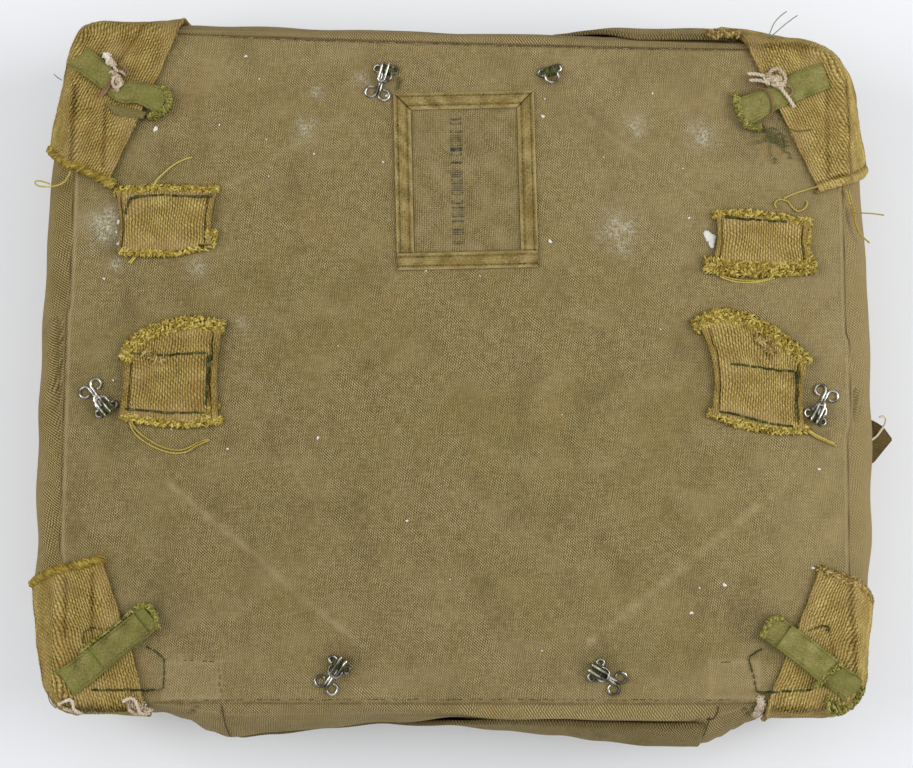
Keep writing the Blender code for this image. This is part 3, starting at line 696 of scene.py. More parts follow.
# ------------------------------------------------------------------ outer flap edges
# Two more layers of the duck cover, whose folded upper edges lie on the front and rear walls
# below the lip. Their lower edges are tucked under the pack.
FLAP_THICKNESS = 0.0016
Flap = namedtuple("Flap", "name seam_y left right left_top top bottom climb_from climb_to soil")
FLAPS = (                  # tops and bottom are lengths of cloth below the seam
    Flap("front_flap", -0.1533, -0.116, 0.110, 0.064, 0.0120, 0.082, 0.30, 0.62, 0.12),
    Flap("rear_flap", 0.1535, 0.038, 0.126, 0.046, 0.0080, 0.074, 0.0, 0.52, 0.0),
)
SEAM_REACH = 0.0110
FLAP_STEPS = (120, 40)
FLAP_FRESH = 0.20
FLAP_EDGE_SHADE = 0.0028


def above_cover(x, y, lift, seam_rise=0.0):
    """Points above the pack. Stiff cloth keeps seam_rise more where it turns down at the seam."""
    nearness = np.clip(1 - np.abs(nearest_station(x, y)[1]) / SEAM_REACH, 0, 1)
    return cover_at(x, y) + cover_normal(x, y) * (lift + seam_rise * ease(nearness))[:, None]


def sheet_grid(steps):
    """Shares u and v across a sheet, row by row, for its steps each way."""
    return [part.ravel() for part in np.meshgrid(*(np.linspace(0, 1, step + 1) for step in steps))]


def from_sides(u, v, size):
    """Distance to the nearest side of a sheet."""
    return np.minimum(np.minimum(u, 1 - u) * size[0], np.minimum(v, 1 - v) * size[1])


def rounded(edge, radius, least=0.15):
    """Share of its thickness that cloth has near a turned or cut edge."""
    return np.sqrt(np.clip(edge / radius, least, 1))


def lay_sheet(name, plan, size, steps, lifts, material, seam_rise=0.0, weave=np.eye(3), **values):
    """Closed sheet on the pack.

    plan(u, v) is its place on the unfolded cover, size its width and length, and lifts(u, v) its
    underside's and its top's height above the pack. values are its attributes on that grid, and
    weave turns and scales its weave from the pack's.
    """
    u, v = sheet_grid(steps)
    columns, rows = steps[0] + 1, steps[1] + 1
    x, y = plan(u, v)
    under, over = lifts(u, v)
    top = above_cover(x, y, over, seam_rise)
    number = np.arange(columns * rows).reshape(rows, columns)
    rim = np.concatenate([number[0, :-1], number[:-1, -1], number[-1, :0:-1], number[:0:-1, 0]])
    inner = number[4:-3:4, 4:-3:4].ravel()
    below = np.concatenate([rim, inner])
    bottom = above_cover(x[below], y[below], under[below], seam_rise)
    faces = [quad for row in range(rows - 1) for quad in zip(
        number[row, :-1].tolist(), number[row, 1:].tolist(),
        number[row + 1, 1:].tolist(), number[row + 1, :-1].tolist())]
    count, edge = len(u), len(rim)
    flat = [Vector((u[spot] * size[0], v[spot] * size[1])) for spot in below]
    laid = delaunay_2d_cdt(flat, [(here, (here + 1) % edge) for here in range(edge)], [], 1, 1e-9)
    faces += [tuple(count + corner for corner in reversed(face)) for face in laid[2]]
    faces += [(count + here, count + (here + 1) % edge, int(rim[(here + 1) % edge]), int(rim[here]))
              for here in range(edge)]
    middle = number[rows // 2, columns // 2]
    corners = top[[middle, middle + 1, middle + columns]]
    facing = np.cross(corners[1] - corners[0], corners[2] - corners[0]) @ \
        cover_normal(x[middle:middle + 1], y[middle:middle + 1])[0]
    if facing < 0:
        faces = [tuple(reversed(face)) for face in faces]
    values["cloth"] = np.column_stack([u * size[0], v * size[1], 0 * u]) @ weave
    extra = {key: np.concatenate([np.asarray(rows_of), np.asarray(rows_of)[below]])
             for key, rows_of in values.items()}
    return put_piece(name, np.concatenate([top, bottom]), faces, material, **extra)


def quad_plan(corners):
    """Plan of a four-cornered piece: front left, front right, rear right, rear left."""
    low_left, low_right, high_right, high_left = (np.array(corner) for corner in corners)

    def plan(u, v):
        low = low_left + (low_right - low_left) * u[:, None]
        high = high_left + (high_right - high_left) * u[:, None]
        return (low + (high - low) * v[:, None]).T
    return plan


for flap in FLAPS:
    outward = math.copysign(1, flap.seam_y)

    def flap_plan(u, v, flap=flap, outward=outward):
        """The upper edge climbs from under the pack between two shares of its length."""
        climb = np.clip((u - flap.climb_from) / (flap.climb_to - flap.climb_from), 0, 1)
        top = flap.left_top + (flap.top - flap.left_top) * ease(climb)
        share = v if outward < 0 else 1 - v
        below = flap.bottom + (top - flap.bottom) * share
        return flap.left + (flap.right - flap.left) * u, flap.seam_y + outward * below

    flat_size = (flap.right - flap.left, flap.bottom - flap.top)

    def flap_lifts(u, v, flap=flap, outward=outward):
        """A flat sheet with a soft turned edge and a few slack waves."""
        from_edge = (1 - v if outward < 0 else v) * flat_size[1]
        fold = rounded(from_edge, 0.0012, 0.03)
        slack = 0.0006 * (1 + waves(u * flat_size[0], v * flat_size[1], 0.035, 12)) * np.sin(
            math.pi * u) * ease(np.clip((u - flap.climb_from) / 0.2, 0, 1))
        ends = ease(np.clip(np.minimum(u, 1 - u) * flat_size[0] / 0.007, 0, 1))
        return 0.0003 + 0 * u, 0.0005 + (slack + FLAP_THICKNESS * fold) * ends

    u, v = sheet_grid(FLAP_STEPS)
    # painted shade along each flap's folded upper edge, which lies under the lip; the front flap is
    # also drawn a little darker all over
    down = (1 - v if outward < 0 else v) * flat_size[1]
    sheet = lay_sheet(flap.name + "_cloth", flap_plan, flat_size, FLAP_STEPS, flap_lifts, CANVAS,
                      weave=np.diag((1.0, 1 - WALL_WEAVE, 1.0)), fresh=np.full(len(u), FLAP_FRESH),
                      soil=flap.soil + 0.40 * bell(down, FLAP_EDGE_SHADE))
    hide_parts(flap.name)

# ------------------------------------------------------------------ cut harness webbing
# Golden cotton webbing, 1 3/4 in wide, with corded ribs along it. Straps turn over the corners
# and short stubs are sewn on the seat face. All are cut through, and their ends have frayed.
WEBBING_WIDTH = 0.0445
WEBBING_THICKNESS = 0.0013
RIB_HEIGHT = 0.00050
RIB_PITCH = 0.00124
STUB_PITCH = 0.00122
STRAP_CELL, STRAP_ROWS = 0.0015, 144       # size and count of a strap's mesh cells
STUB_CELL = (0.00027, 0.0008)
RIB_WAVE = 0.0031          # ribs pinch together and part at this spacing
BEAD_PITCH = 0.0019        # length of one turn of a rib's twisted cord
STRAP_LIFT = 0.0005
STRAP_RISE = 0.0011        # more than that over the seam
STUB_LIFT = 0.0003
TURNED_RISE = 0.0009       # how far it stands up where it is turned over
CUT_RIM = 0.0006


def dyed_cotton(name, shadow, body, light, blotch, grain=0.0004, share=0.4, ribbed=False):
    """Matt cotton yarn, dyed unevenly, with painted shade between the yarns and a painted highlight
    on their crests.

    The tone attribute says how high a point lies in its yarn, and faded how far it has bleached
    to a pinkish brown. Fibre ends give a fine grain. On ribbed webbing the rib attribute counts
    the ribs across, the turns of their cords along, and says how far they stand out.
    """
    material, tree, shader = new_material(name, roughness=0.9, specular_ior_level=0.15)
    place = add_node(tree, "TexCoord").outputs["Object"]
    tone, faded = attribute(tree, "tone"), attribute(tree, "faded")
    cords = None
    if ribbed:
        across, along, strength = add_node(tree, "SeparateXYZ",
                                           {0: attribute(tree, "rib", "Vector")}).outputs
        within = compute(tree, "FRACT", across)
        # each cord starts half a turn on from the one before, and its plies lean across it
        turn = compute(tree, "MULTIPLY_ADD", compute(tree, "FLOOR", across), 0.5, along)
        turn = compute(tree, "MULTIPLY_ADD", within, 0.9, turn)
        bead = compute(tree, "COSINE", compute(tree, "MULTIPLY", turn, math.tau))
        bead = compute(tree, "MULTIPLY_ADD", bead, 0.19, 0.81)
        # the cords get a painted highlight on their crests and painted shade between them
        crest = compute(tree, "SINE", compute(tree, "MULTIPLY", within, math.pi))
        cords = compute(tree, "MULTIPLY", crest, bead)
        swing = compute(tree, "SUBTRACT", cords, 0.56)
        tone = compute(tree, "MULTIPLY_ADD", swing, strength, tone)
    fibre = add_node(tree, "TexNoise", {"Vector": place, "Scale": 0.55 / grain, "Detail": 2.0})
    level = compute(tree, "MULTIPLY_ADD", fibre, 0.9, tone)
    level = compute(tree, "SUBTRACT", level, 0.45)
    cloud = add_node(tree, "TexNoise", {"Vector": place, "Scale": 130.0, "Detail": 3.0})
    cloud = add_node(tree, "MapRange", {"Value": cloud, "From Min": 0.48, "From Max": 0.68,
                                        "To Max": share})
    colour = tinted(tree, colour_ramp(tree, level, shadow, light, body), cloud, blotch)
    tree.links.new(tinted(tree, colour, faded, "b19468"), shader.inputs["Base Color"])
    bump = add_node(tree, "Bump", {"Strength": 0.35, "Distance": 0.0002, "Height": fibre})
    if cords:
        cord_bump = add_node(tree, "Bump", {"Strength": 0.8, "Distance": 0.0003, "Height": cords})
        tree.links.new(cord_bump.outputs[0], bump.inputs["Normal"])
    tree.links.new(bump.outputs[0], shader.inputs["Normal"])
    return material


WEBBING = dyed_cotton("Cotton harness webbing", "3c2c0e", "9c8444", "e2ce88", "94723c", ribbed=True)


def rib_count(across, along, pitch=RIB_PITCH):
    """Corded ribs up to a place across the webbing. They wander and pinch together."""
    turn = across / pitch
    turn = turn + 0.17 * np.sin(math.tau * along / RIB_WAVE) * np.cos(math.pi * turn)
    return turn + 0.42 * waves(across, along, 0.013, 21)


Strap = namedtuple("Strap", "name x y heading width_side length seam_y bent skew flare fold tone "
                            "edge")
# bent: how far it turns to run straight down the wall past the seam. skew: how much longer its
# outer edge is at the cut end. flare: how far that edge spreads at the other end. fold: hem at the
# cut end. tone: how pale it has faded. edge: how far the inner selvedge has drawn in, at quarters.
STRAPS = (
    Strap("strap_rear_left", -0.1683, 0.0888, 64.0, 1, 0.134, 0.1605, 0.85, 0.0, 0.0, 0.0, 0.47,
          (0, 0.0008, 0.0026, 0.0036, 0.0044)),
    Strap("strap_rear_right", 0.1652, 0.0845, 116.5, -1, 0.136, 0.1535, 0.45, 0.0065, 0.0, 0.0045,
          0.54, (0, 0.0006, 0.0012, 0.0016, 0.001)),
    Strap("strap_front_left", -0.1681, -0.0858, -71.0, -1, 0.094, -0.1530, 0.90, 0.0032, 0.010, 0.0,
          0.47, (0.0010, 0.0008, 0.0010, 0.0033, 0.0040)),
    Strap("strap_front_right", 0.1615, -0.0910, -110.0, 1, 0.090, -0.1530, 0.95, 0.0, 0.004, 0.0,
          0.53, (0.0010, 0.0004, -0.0004, -0.0012, -0.0012)),
)
Tuck = namedtuple("Tuck", "start end depth")
TUCKS = (                  # millimetres, along lines where it has been sewn or has creased
    Tuck((-183.2, 135), (-184.6, 96), 0.9), Tuck((-170, 124), (-170.6, 97), 0.6),
    Tuck((-149, 168), (-165, 146), 0.7), Tuck((169, 140), (169, 90), 0.6),
    Tuck((177.3, 138), (179, 90), 0.9), Tuck((125, 153.5), (164, 153), 0.9),
    Tuck((-185, -95), (-185, -122), 0.8), Tuck((-172.8, -93), (-172.8, -122), 0.7),
    Tuck((175.5, -96), (177, -142), 0.8), Tuck((166, -118), (169, -134), 0.5),
    Tuck((-186, -153.5), (-144, -153.5), 0.9), Tuck((140, -154), (178, -154), 0.9),
)


def tucked(x, y):
    """How deep the webbing is sunk at these places, from 0 to 1."""
    depth = np.zeros(len(x))
    for tuck in TUCKS:
        gap, share = near_line(x, y, tuck.start, tuck.end)
        depth = np.maximum(depth, tuck.depth * bell(gap, 0.0010))
    return depth


def webbing_piece(name, plan, size, steps, along_u, lift, rise, pale, pitch=RIB_PITCH, hems=(),
                  fold=0.0):
    """Ribbed webbing, its ribs along u or v. It is turned over at its sides or at its first end."""
    width = size[1] if along_u else size[0]
    turned_over = 1.0 if hems or fold else 0.0
    u, v = sheet_grid(steps)

    def folded(u, v):
        """Where the webbing is turned over, and how far each place lies past the turned edge."""
        across = v * size[1] if along_u else u * size[0]
        past = (np.minimum(across - hems[0], width - across - hems[1]) if hems
                else u * size[0] - fold)
        past = past + 0.0004 * waves(u * size[0], v * size[1], 0.009, 22)
        return np.clip(-past / 0.0006, 0, 1) * turned_over, past

    def heights(u, v):
        across, along = (v * size[1], u * size[0]) if along_u else (u * size[0], v * size[1])
        turned, past = folded(u, v)
        crest = np.sin(math.pi * (rib_count(across, along, pitch) % 1))
        depth = np.maximum(tucked(*plan(u, v)), bell(past, 0.0005) * turned_over)
        selvedge = bell(np.minimum(across, width - across), 0.0012)
        height = RIB_HEIGHT * crest * (1 - 0.6 * depth) * (1 - 0.5 * turned) + 0.0005 * selvedge
        return across, along, turned, depth, height + TURNED_RISE * turned - 0.0005 * depth

    def lifts(u, v):
        rim = rounded(from_sides(u, v, size), CUT_RIM)
        slack = 0.0004 * (1 + waves(u * size[0], v * size[1], 0.016, 31))
        return lift + 0 * u, lift + WEBBING_THICKNESS * rim + heights(u, v)[4] + slack

    across, along, turned, depth, _ = heights(u, v)
    spots = waves(u * size[0], v * size[1], 0.011, 40)
    # painted shade where the webbing is sunk along tucks and at its turned edge
    tone = np.clip(pale - 0.38 * depth + 0.08 * spots - (0.08 if hems else -0.10) * turned, 0, 1)
    end = 1 - v if along_u else np.maximum(v, 1 - v)
    faded = np.clip(0.25 * waves(u * size[0], v * size[1], 0.024, 41) + 0.30 * ease(
        np.clip((end - 0.80) / 0.15, 0, 1)) * bool(hems) + 0.15 * turned * (fold > 0), 0, 0.5)
    rib = np.stack([rib_count(across, along, pitch), along / BEAD_PITCH,
                    0.66 * (1 - (0.25 if hems else 0.45) * turned)], axis=1)
    piece = lay_sheet(name + "_web", plan, size, steps, lifts, WEBBING, rise, tone=tone,
                      faded=faded, rib=rib)
    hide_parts(name)


def strap_plan(strap):
    """A plan for lay_sheet that runs from the strap's inner end over its corner."""
    angle = math.radians(strap.heading)
    forward = np.array((math.cos(angle), math.sin(angle)))
    sideways = np.array((-forward[1], forward[0])) * strap.width_side

    def plan(u, v):
        drawn = np.interp(u, np.linspace(0, 1, 5), strap.edge) * (1 - v)
        scallop = 0.00022 * np.sin(math.tau * u * strap.length / 0.0031) * (1 - 2 * v)
        aside = WEBBING_WIDTH * v + drawn + scallop + strap.flare * u * v ** 2
        ahead = strap.length * u - strap.skew * v * (1 - u)
        x = strap.x + forward[0] * ahead + sideways[0] * aside
        y = strap.y + forward[1] * ahead + sideways[1] * aside
        past = np.maximum((y - strap.seam_y) * math.copysign(1, strap.seam_y), 0)
        return x - strap.bent * past * forward[0] / abs(forward[1]), y
    return plan


for strap in STRAPS:
    webbing_piece(strap.name, strap_plan(strap), (strap.length, WEBBING_WIDTH),
                  (round(strap.length / STRAP_CELL), STRAP_ROWS), True, STRAP_LIFT, STRAP_RISE,
                  strap.tone, fold=strap.fold)

Stub = namedtuple("Stub", "name tone hems pinch front rear")
# hems: its folded selvedges. pinch: how far its left one draws in. Then places along its front
# and rear cut ends, from left to right. All in millimetres.
STUBS = (
    Stub("stub_left_rear", 0.51, (2.4, 4), 1.4, ((-162.8, 56.2), (-149, 56.2), (-135, 56.8),
         (-119, 58.5)), ((-164, 84.8), (-148, 85), (-132, 84.8), (-116.8, 84.5))),
    Stub("stub_left_front", 0.47, (5, 4.6), 1.6, ((-161.6, -20.5), (-147, -22.5), (-131, -23.8),
         (-115, -24)), ((-160.6, 9.5), (-146, 19.5), (-130, 23.2), (-113.8, 21.5))),
    Stub("stub_right_rear", 0.55, (3.5, 3.5), 1.6, ((113.5, 48), (129, 47.5), (145, 47.5),
         (160.5, 48)), ((116.3, 73.8), (131, 73.5), (145, 72.2), (159.7, 71))),
    Stub("stub_right_front", 0.54, (4.3, 4.3), 4.4, ((112.8, -20.3), (127, -23.8), (142, -26.6),
         (156.2, -27.5)), ((107, 23.5), (125, 26.5), (143, 18), (158, 6.5))),
)


def stub_plan(stub):
    """A plan for lay_sheet between the stub's front and rear edges."""
    def plan(u, v):
        low, high = smooth_rows(metres(stub.front), u * 3), smooth_rows(metres(stub.rear), u * 3)
        waist = np.sin(math.pi * v) * (stub.pinch * MM * (1 - u) - 0.0016 * u)
        return (low + (high - low) * v[:, None]).T + (waist, 0 * waist)
    return plan


for stub in STUBS:
    front, rear = metres(stub.front), metres(stub.rear)
    width = (np.ptp(front[:, 0]) + np.ptp(rear[:, 0])) / 2
    length = float(np.mean(rear[:, 1] - front[:, 1]))
    webbing_piece(stub.name, stub_plan(stub), (width, length),
                  (round(width / STUB_CELL[0]), round(length / STUB_CELL[1])), False, STUB_LIFT,
                  0.0, stub.tone, STUB_PITCH, [hem * MM for hem in stub.hems])

# ------------------------------------------------------------------ frayed ends of the webbing
# The weft has sprung out of the cut ends as a roll of bright golden loops, stitched down with
# dark green thread. Each loop is a real yarn.
YARN = dyed_cotton("Frayed webbing yarn", "46350f", "a68d3c", "dccb72", "98782d", grain=0.0003)
BROWN_YARN = dyed_cotton("Brown webbing yarn", "46350f", "927840", "cdb67a", "8a683a", grain=0.0003)
GREEN_THREAD = dyed_cotton("Dark green sewing thread", "26260f", "4b4c2a", "7a7946", "55562c",
                           grain=0.0003)


def unit(rows):
    """The rows at a length of one."""
    return rows / np.maximum(np.linalg.norm(rows, axis=-1, keepdims=True), 1e-12)


LEVER = (0.36, 0.48, 0.80)     # leans across every yarn, so that its first ring has a start


def tubes(paths, radius, sides=6):
    """Points and faces of closed round yarns or wires along paths, as (piece, step, xyz)."""
    paths = np.asarray(paths, float)
    count, steps = paths.shape[:2]
    run = unit(np.gradient(paths, axis=1))
    aside = np.cross(run[:, 0], LEVER)
    turns = np.arange(sides) * math.tau / sides
    wide = np.broadcast_to(radius, (count, steps))
    rings = []
    for step in range(steps):
        aside = unit(aside - run[:, step] * (aside * run[:, step]).sum(axis=1, keepdims=True))
        other = np.cross(run[:, step], aside)
        spokes = aside[:, None] * np.cos(turns)[:, None] + other[:, None] * np.sin(turns)[:, None]
        rings.append(paths[:, step, None] + wide[:, step, None, None] * spokes)
    points = np.stack(rings, axis=1).reshape(-1, 3)
    ring = np.arange(sides)
    start = (np.arange(count)[:, None, None] * steps + np.arange(steps - 1)[None, :, None]) * sides
    here, after = start + ring, start + (ring + 1) % sides
    quads = np.stack([here, after, after + sides, here + sides], axis=-1).reshape(-1, 4)
    first = np.arange(count)[:, None] * steps * sides + ring[::-1]
    last = np.arange(count)[:, None] * steps * sides + (steps - 1) * sides + ring
    return points, quads.tolist() + first.tolist() + last.tolist()


def put_tubes(name, paths, radius, material, sides=6, tone=None):
    """Yarns as one piece. tone is one value a yarn."""
    paths = np.asarray(paths, float)
    points, faces = tubes(paths, radius, sides)
    if tone is None:
        tone = np.full(len(paths), 0.5)
    piece = put_piece(name, points, faces, material,
                      tone=np.repeat(tone, paths.shape[1] * sides))
    return piece


def raised(places, lifts, seam_rise=0.0):
    """Points above the pack for (piece, step) places and their lifts."""
    places = np.asarray(places, float)
    flat = places.reshape(-1, 2)
    lifts = np.broadcast_to(lifts, places.shape[:-1]).ravel()
    return above_cover(flat[:, 0], flat[:, 1], lifts, seam_rise).reshape(*places.shape[:-1], 3)


Band = namedtuple("Band", "edge width count lift height seed size lean", defaults=(2.2, None))


CURL_TUCK = 0.45           # how far past its half turn a curl goes back in


def fray_curls(band, steps=6):
    """Paths of sprung yarn curls along a band's edge, which is a few places from end to end.

    Its lengths are in millimetres. With a lean each curl crosses the whole band, so that together
    they look like a rope.
    """
    width, lift, height, size = metres((band.width, band.lift, band.height, band.size))
    count, lean = band.count, band.lean
    random = np.random.default_rng(band.seed)
    edge = metres(band.edge)
    spot = random.uniform(0, len(edge) - 1, count)
    middle = smooth_rows(edge, spot)
    run = unit(smooth_rows(edge, np.clip(spot + 0.05, 0, len(edge) - 1))
               - smooth_rows(edge, np.clip(spot - 0.05, 0, len(edge) - 1)))
    aside = np.stack([-run[:, 1], run[:, 0]], axis=1)
    if lean is None:
        way, reach = random.uniform(-1.6, 1.6, count), random.uniform(0.5, 1.1, count) * size
        slide = random.uniform(-0.5, 0.5, count) * np.maximum(width - 0.7 * size, 0.0003)
    else:
        way = lean + random.uniform(-0.3, 0.3, count)
        reach = random.uniform(0.7, 1.0, count) * width
        slide = random.normal(0, 0.07, count) * width
    crown = np.sqrt(np.clip(1 - (1.7 * slide / width) ** 2, 0.2, 1))
    rise = random.uniform(0.45, 1.0, count) * height * crown
    bend = random.normal(0, 0.25, count) * reach
    turn = np.linspace(-CURL_TUCK, math.pi + CURL_TUCK, steps)
    reach_out = -np.cos(turn)[None] * (reach / 2)[:, None]
    along = reach_out * np.sin(way)[:, None] + np.sin(turn) * bend[:, None]
    across = reach_out * np.cos(way)[:, None] + slide[:, None]
    places = middle[:, None] + run[:, None] * along[..., None] + aside[:, None] * across[..., None]
    lifts = lift + rise[:, None] * (np.sin(turn) + CURL_TUCK) / (1 + CURL_TUCK)
    # higher curls are drawn paler, as a painted highlight
    return places, lifts, np.clip(random.uniform(0.08, 0.80, count) + 0.25 * rise / height, 0, 1)


def put_fray(name, bands, radius, material, seam_rise=STRAP_RISE, sides=4,
             tone=(0.0, 1.0)):
    """The curls of a few bands as one piece. tone gives their darkest and how far they vary."""
    curls = [fray_curls(band) for band in bands]
    paths = np.concatenate([raised(places, lifts, seam_rise) for places, lifts, _ in curls])
    tones = np.concatenate([tones for *_, tones in curls])
    put_tubes(name, paths, radius, material, sides, tone[0] + tone[1] * tones)


Fray = namedtuple("Fray", "name edge width count height")      # millimetres
FRAYS = (
    Fray("left_rear_top", ((-165, 84.8), (-150, 86.2), (-133, 86), (-116.5, 85.6)), 4.6, 360, 2.6),
    Fray("left_rear_bottom", ((-162.2, 56.8), (-150, 56), (-135, 56.2), (-118, 60)), 4.6, 360, 2.6),
    Fray("left_rear_tuft", ((-121.5, 64.5), (-117, 64)), 6, 60, 3.2),
    Fray("left_front_tuft", ((-121, -21.5), (-116.5, -15)), 5, 60, 3),
    Fray("right_rear_tufts", ((160, 69), (159, 60), (160, 52)), 3.4, 90, 2.6),
    Fray("left_front_top", ((-159.2, 6), (-154.5, 13.5), (-143, 19.8), (-128, 23), (-113.5, 20.5)),
         7.8, 740, 3.7),
    Fray("left_front_bottom", ((-160.6, -19.8), (-148, -22.8), (-131, -24), (-114, -22.5)), 5, 420,
         2.9),
    Fray("right_rear_top", ((115.5, 73.5), (130, 74.2), (146, 72.5), (161, 70)), 5, 400, 2.9),
    Fray("right_rear_bottom", ((111, 50.5), (127, 48.2), (144, 48.2), (162, 50)), 8.4, 760, 3.8),
    Fray("right_front_top", ((106, 21), (116, 26.2), (129, 24.5), (144, 16.5), (158.5, 4)), 7.8,
         800, 3.8),
    Fray("right_front_bottom", ((112, -19), (126, -24), (142, -26.8), (158, -26.5)), 5, 400, 2.9),
)
for number, fray in enumerate(FRAYS):
    put_fray("fray_" + fray.name, [Band(fray.edge, fray.width, fray.count, 0.4, fray.height,
                                        100 + number)], 0.00046, YARN, seam_rise=0.0)
put_fray("fray_stub_loops", (
    Band(((-150, 9.5), (-145.5, 6.5), (-141, 4.5)), 5, 56, 1.8, 2.6, 120, 4),
    Band(((134.5, 16), (138, 12.5), (141.5, 9)), 4.6, 56, 1.8, 2.6, 121, 4),
), 0.00044, BROWN_YARN, seam_rise=0.0, sides=5)

# The straps' cut ends: width, count, height and lean of the curls along each.
STRAP_ENDS = {
    "strap_rear_left": (4.6, 340, 3.8, 0.8), "strap_rear_right": (1.8, 90, 1.6, 0.9),
    "strap_front_left": (4.8, 340, 3.6, -0.8), "strap_front_right": (5.6, 360, 2.4, None),
}
CURLED = ("strap_rear_left", "strap_front_left")
for number, strap in enumerate(STRAPS):
    edge = np.transpose(strap_plan(strap)(np.full(5, 0.006), np.linspace(-0.02, 1.02, 5))) / MM
    width, count, height, lean = STRAP_ENDS[strap.name]
    curled = strap.name in CURLED
    put_fray("fray_" + strap.name, [Band(edge, width, count, 0.8, height, 130 + number, lean=lean)],
             0.00048, YARN if curled else BROWN_YARN, tone=(0.0, 0.62 if curled else 1.0))
put_fray("fray_strap_rear_right_edge", [Band(((115, 161.2), (121.5, 163), (129, 163)), 10, 240, 2.4,
                                             2.8, 139)], 0.00046, BROWN_YARN)
put_fray("fray_strap_knobs", (Band(((-203, 107.5), (-201, 109.5)), 4, 50, 1, 3.4, 140),
                              Band(((-169, 89), (-166, 87.8)), 4, 50, 1, 3.4, 141)), 0.00042, YARN)


STITCH_TUCK = 0.0003       # how deep a stitch dips in at its ends


def stitches(places, stitch, gap, lift, seam_rise=0.0, slack=0.00035):
    """Paths of sewn stitches along a line of places, each dipping in at both of its ends."""
    fine = smooth_rows(places, np.linspace(0, len(places) - 1, 40 * len(places)))
    run = np.concatenate([[0], np.cumsum(np.linalg.norm(np.diff(fine, axis=0), axis=1))])
    starts = np.arange(0, run[-1] - stitch, stitch + gap)
    random = np.random.default_rng(len(starts))
    share = np.linspace(0, 1, 5)
    at = starts[:, None] + random.normal(0, 0.08, (len(starts), 1)) * stitch + share * stitch
    spots = np.stack([np.interp(at, run, fine[:, 0]), np.interp(at, run, fine[:, 1])], axis=-1)
    spots += random.normal(0, 0.06, (len(starts), 1, 2)) * stitch
    return raised(spots, lift - STITCH_TUCK + slack * 2 * np.sin(math.pi * share), seam_rise)


Seam = namedtuple("Seam", "places lift radius", defaults=(0.00052,))    # places in millimetres
THIN = 0.00034
WEB_TOP = STRAP_LIFT + WEBBING_THICKNESS + TURNED_RISE
STUB_TOP = STUB_LIFT + WEBBING_THICKNESS + 0.0008
RESEWN, RESEWN_AGAIN = STUB_TOP + 0.0002, STUB_TOP + 0.0003
COVER_TOP = 0.0004
GREEN_SEAMS = (
    Seam(((-155.9, 82.2), (-148.4, 82.4), (-139, 82.7), (-129.7, 82.2), (-117.5, 82)), STUB_TOP),
    Seam(((-156.8, 82.2), (-158.6, 77.9), (-160, 72.7)), STUB_TOP),
    Seam(((-158.7, 9.5), (-147.5, 7.4), (-138.2, 7.9), (-128.9, 8.4), (-118.7, 9.3)), STUB_TOP),
    Seam(((-119.6, 7.4), (-120.4, -3.8), (-120.7, -16.8)), STUB_TOP),
    Seam(((-159.2, -17.3), (-147.2, -18.5), (-133.2, -19.2), (-121.2, -19)), STUB_TOP),
    Seam(((120.5, 72.4), (129.9, 71.6), (139.2, 71), (152, 70)), STUB_TOP),
    Seam(((123, 3.7), (131.4, 2.8), (143, 0.9), (153.2, 0.0)), STUB_TOP),
    Seam(((153.2, 0.0), (153.1, -6.1), (152.6, -11.2), (152.2, -24)), STUB_TOP),
    Seam(((117.2, -18.7), (128.8, -21.2), (140.3, -24), (151.6, -25.5)), STUB_TOP),
    Seam(((-172.2, -146.5), (-163.9, -146.5), (-154.7, -146.2), (-145.6, -146.5), (-140.1, -146)),
         WEB_TOP),
    Seam(((-140.1, -146), (-139.7, -139.7), (-139.8, -132.8), (-143.5, -129.2), (-148.1, -126.5)),
         COVER_TOP, THIN),
    Seam(((-176.6, -125.1), (-176.2, -121), (-173.5, -118.2), (-169.8, -118.2), (-166.1, -120.5)),
         WEB_TOP, THIN),
    Seam(((157.6, -146.5), (147.9, -147), (138.8, -147.4), (132.8, -147.4)), WEB_TOP),
    Seam(((132.8, -147.4), (131.5, -139.7), (129.8, -132.4), (133.5, -129.2), (138.1, -126.9)),
         COVER_TOP, THIN),
    Seam(((157, -119.6), (161.2, -117.8), (164.9, -117.3), (166.2, -119.6), (166.2, -122.3)),
         WEB_TOP, THIN),
    Seam(((-179.8, -154.7), (-173, -154.7), (-163.8, -154.2), (-154.6, -153.8)), WEB_TOP, THIN),
    # where the sewing was started and stopped, it was gone over again
    Seam(((-119, 7.2), (-119.6, 4), (-119.6, 0.8)), RESEWN_AGAIN),
    Seam(((-120.4, 7), (-120.6, 3.5), (-120.2, 0.2)), RESEWN),
    Seam(((152.4, 0), (152.6, -3.5), (152.4, -6.6)), RESEWN_AGAIN),
    Seam(((153.7, -0.2), (153.8, -3.5), (153.6, -6.8)), RESEWN),
    Seam(((-156.8, 81.6), (-154, 82.2), (-151, 82)), RESEWN_AGAIN),
    Seam(((-129.6, 82.2), (-124, 81.8), (-117.8, 82.4)), RESEWN_AGAIN),
    Seam(((120.5, 73), (122.5, 72.2), (125, 72.4)), RESEWN_AGAIN),
    Seam(((132.8, -146.8), (135, -147.4), (138, -147), (142, -147.4)), WEB_TOP),
    Seam(((-125, 59.6), (-121.5, 59), (-118, 59.8)), RESEWN_AGAIN),
)
paths, radii = [], []
for seam in GREEN_SEAMS:
    paths.append(stitches(metres(seam.places), stitch=0.0026, gap=0.0003, lift=seam.lift,
                          seam_rise=STRAP_RISE / 2, slack=0.00055))
    radii += [seam.radius] * len(paths[-1])
paths = np.concatenate(paths)
put_tubes("green_stitching", paths, np.array(radii)[:, None], GREEN_THREAD, 6,
          np.random.default_rng(7).uniform(0.15, 0.8, len(paths)))
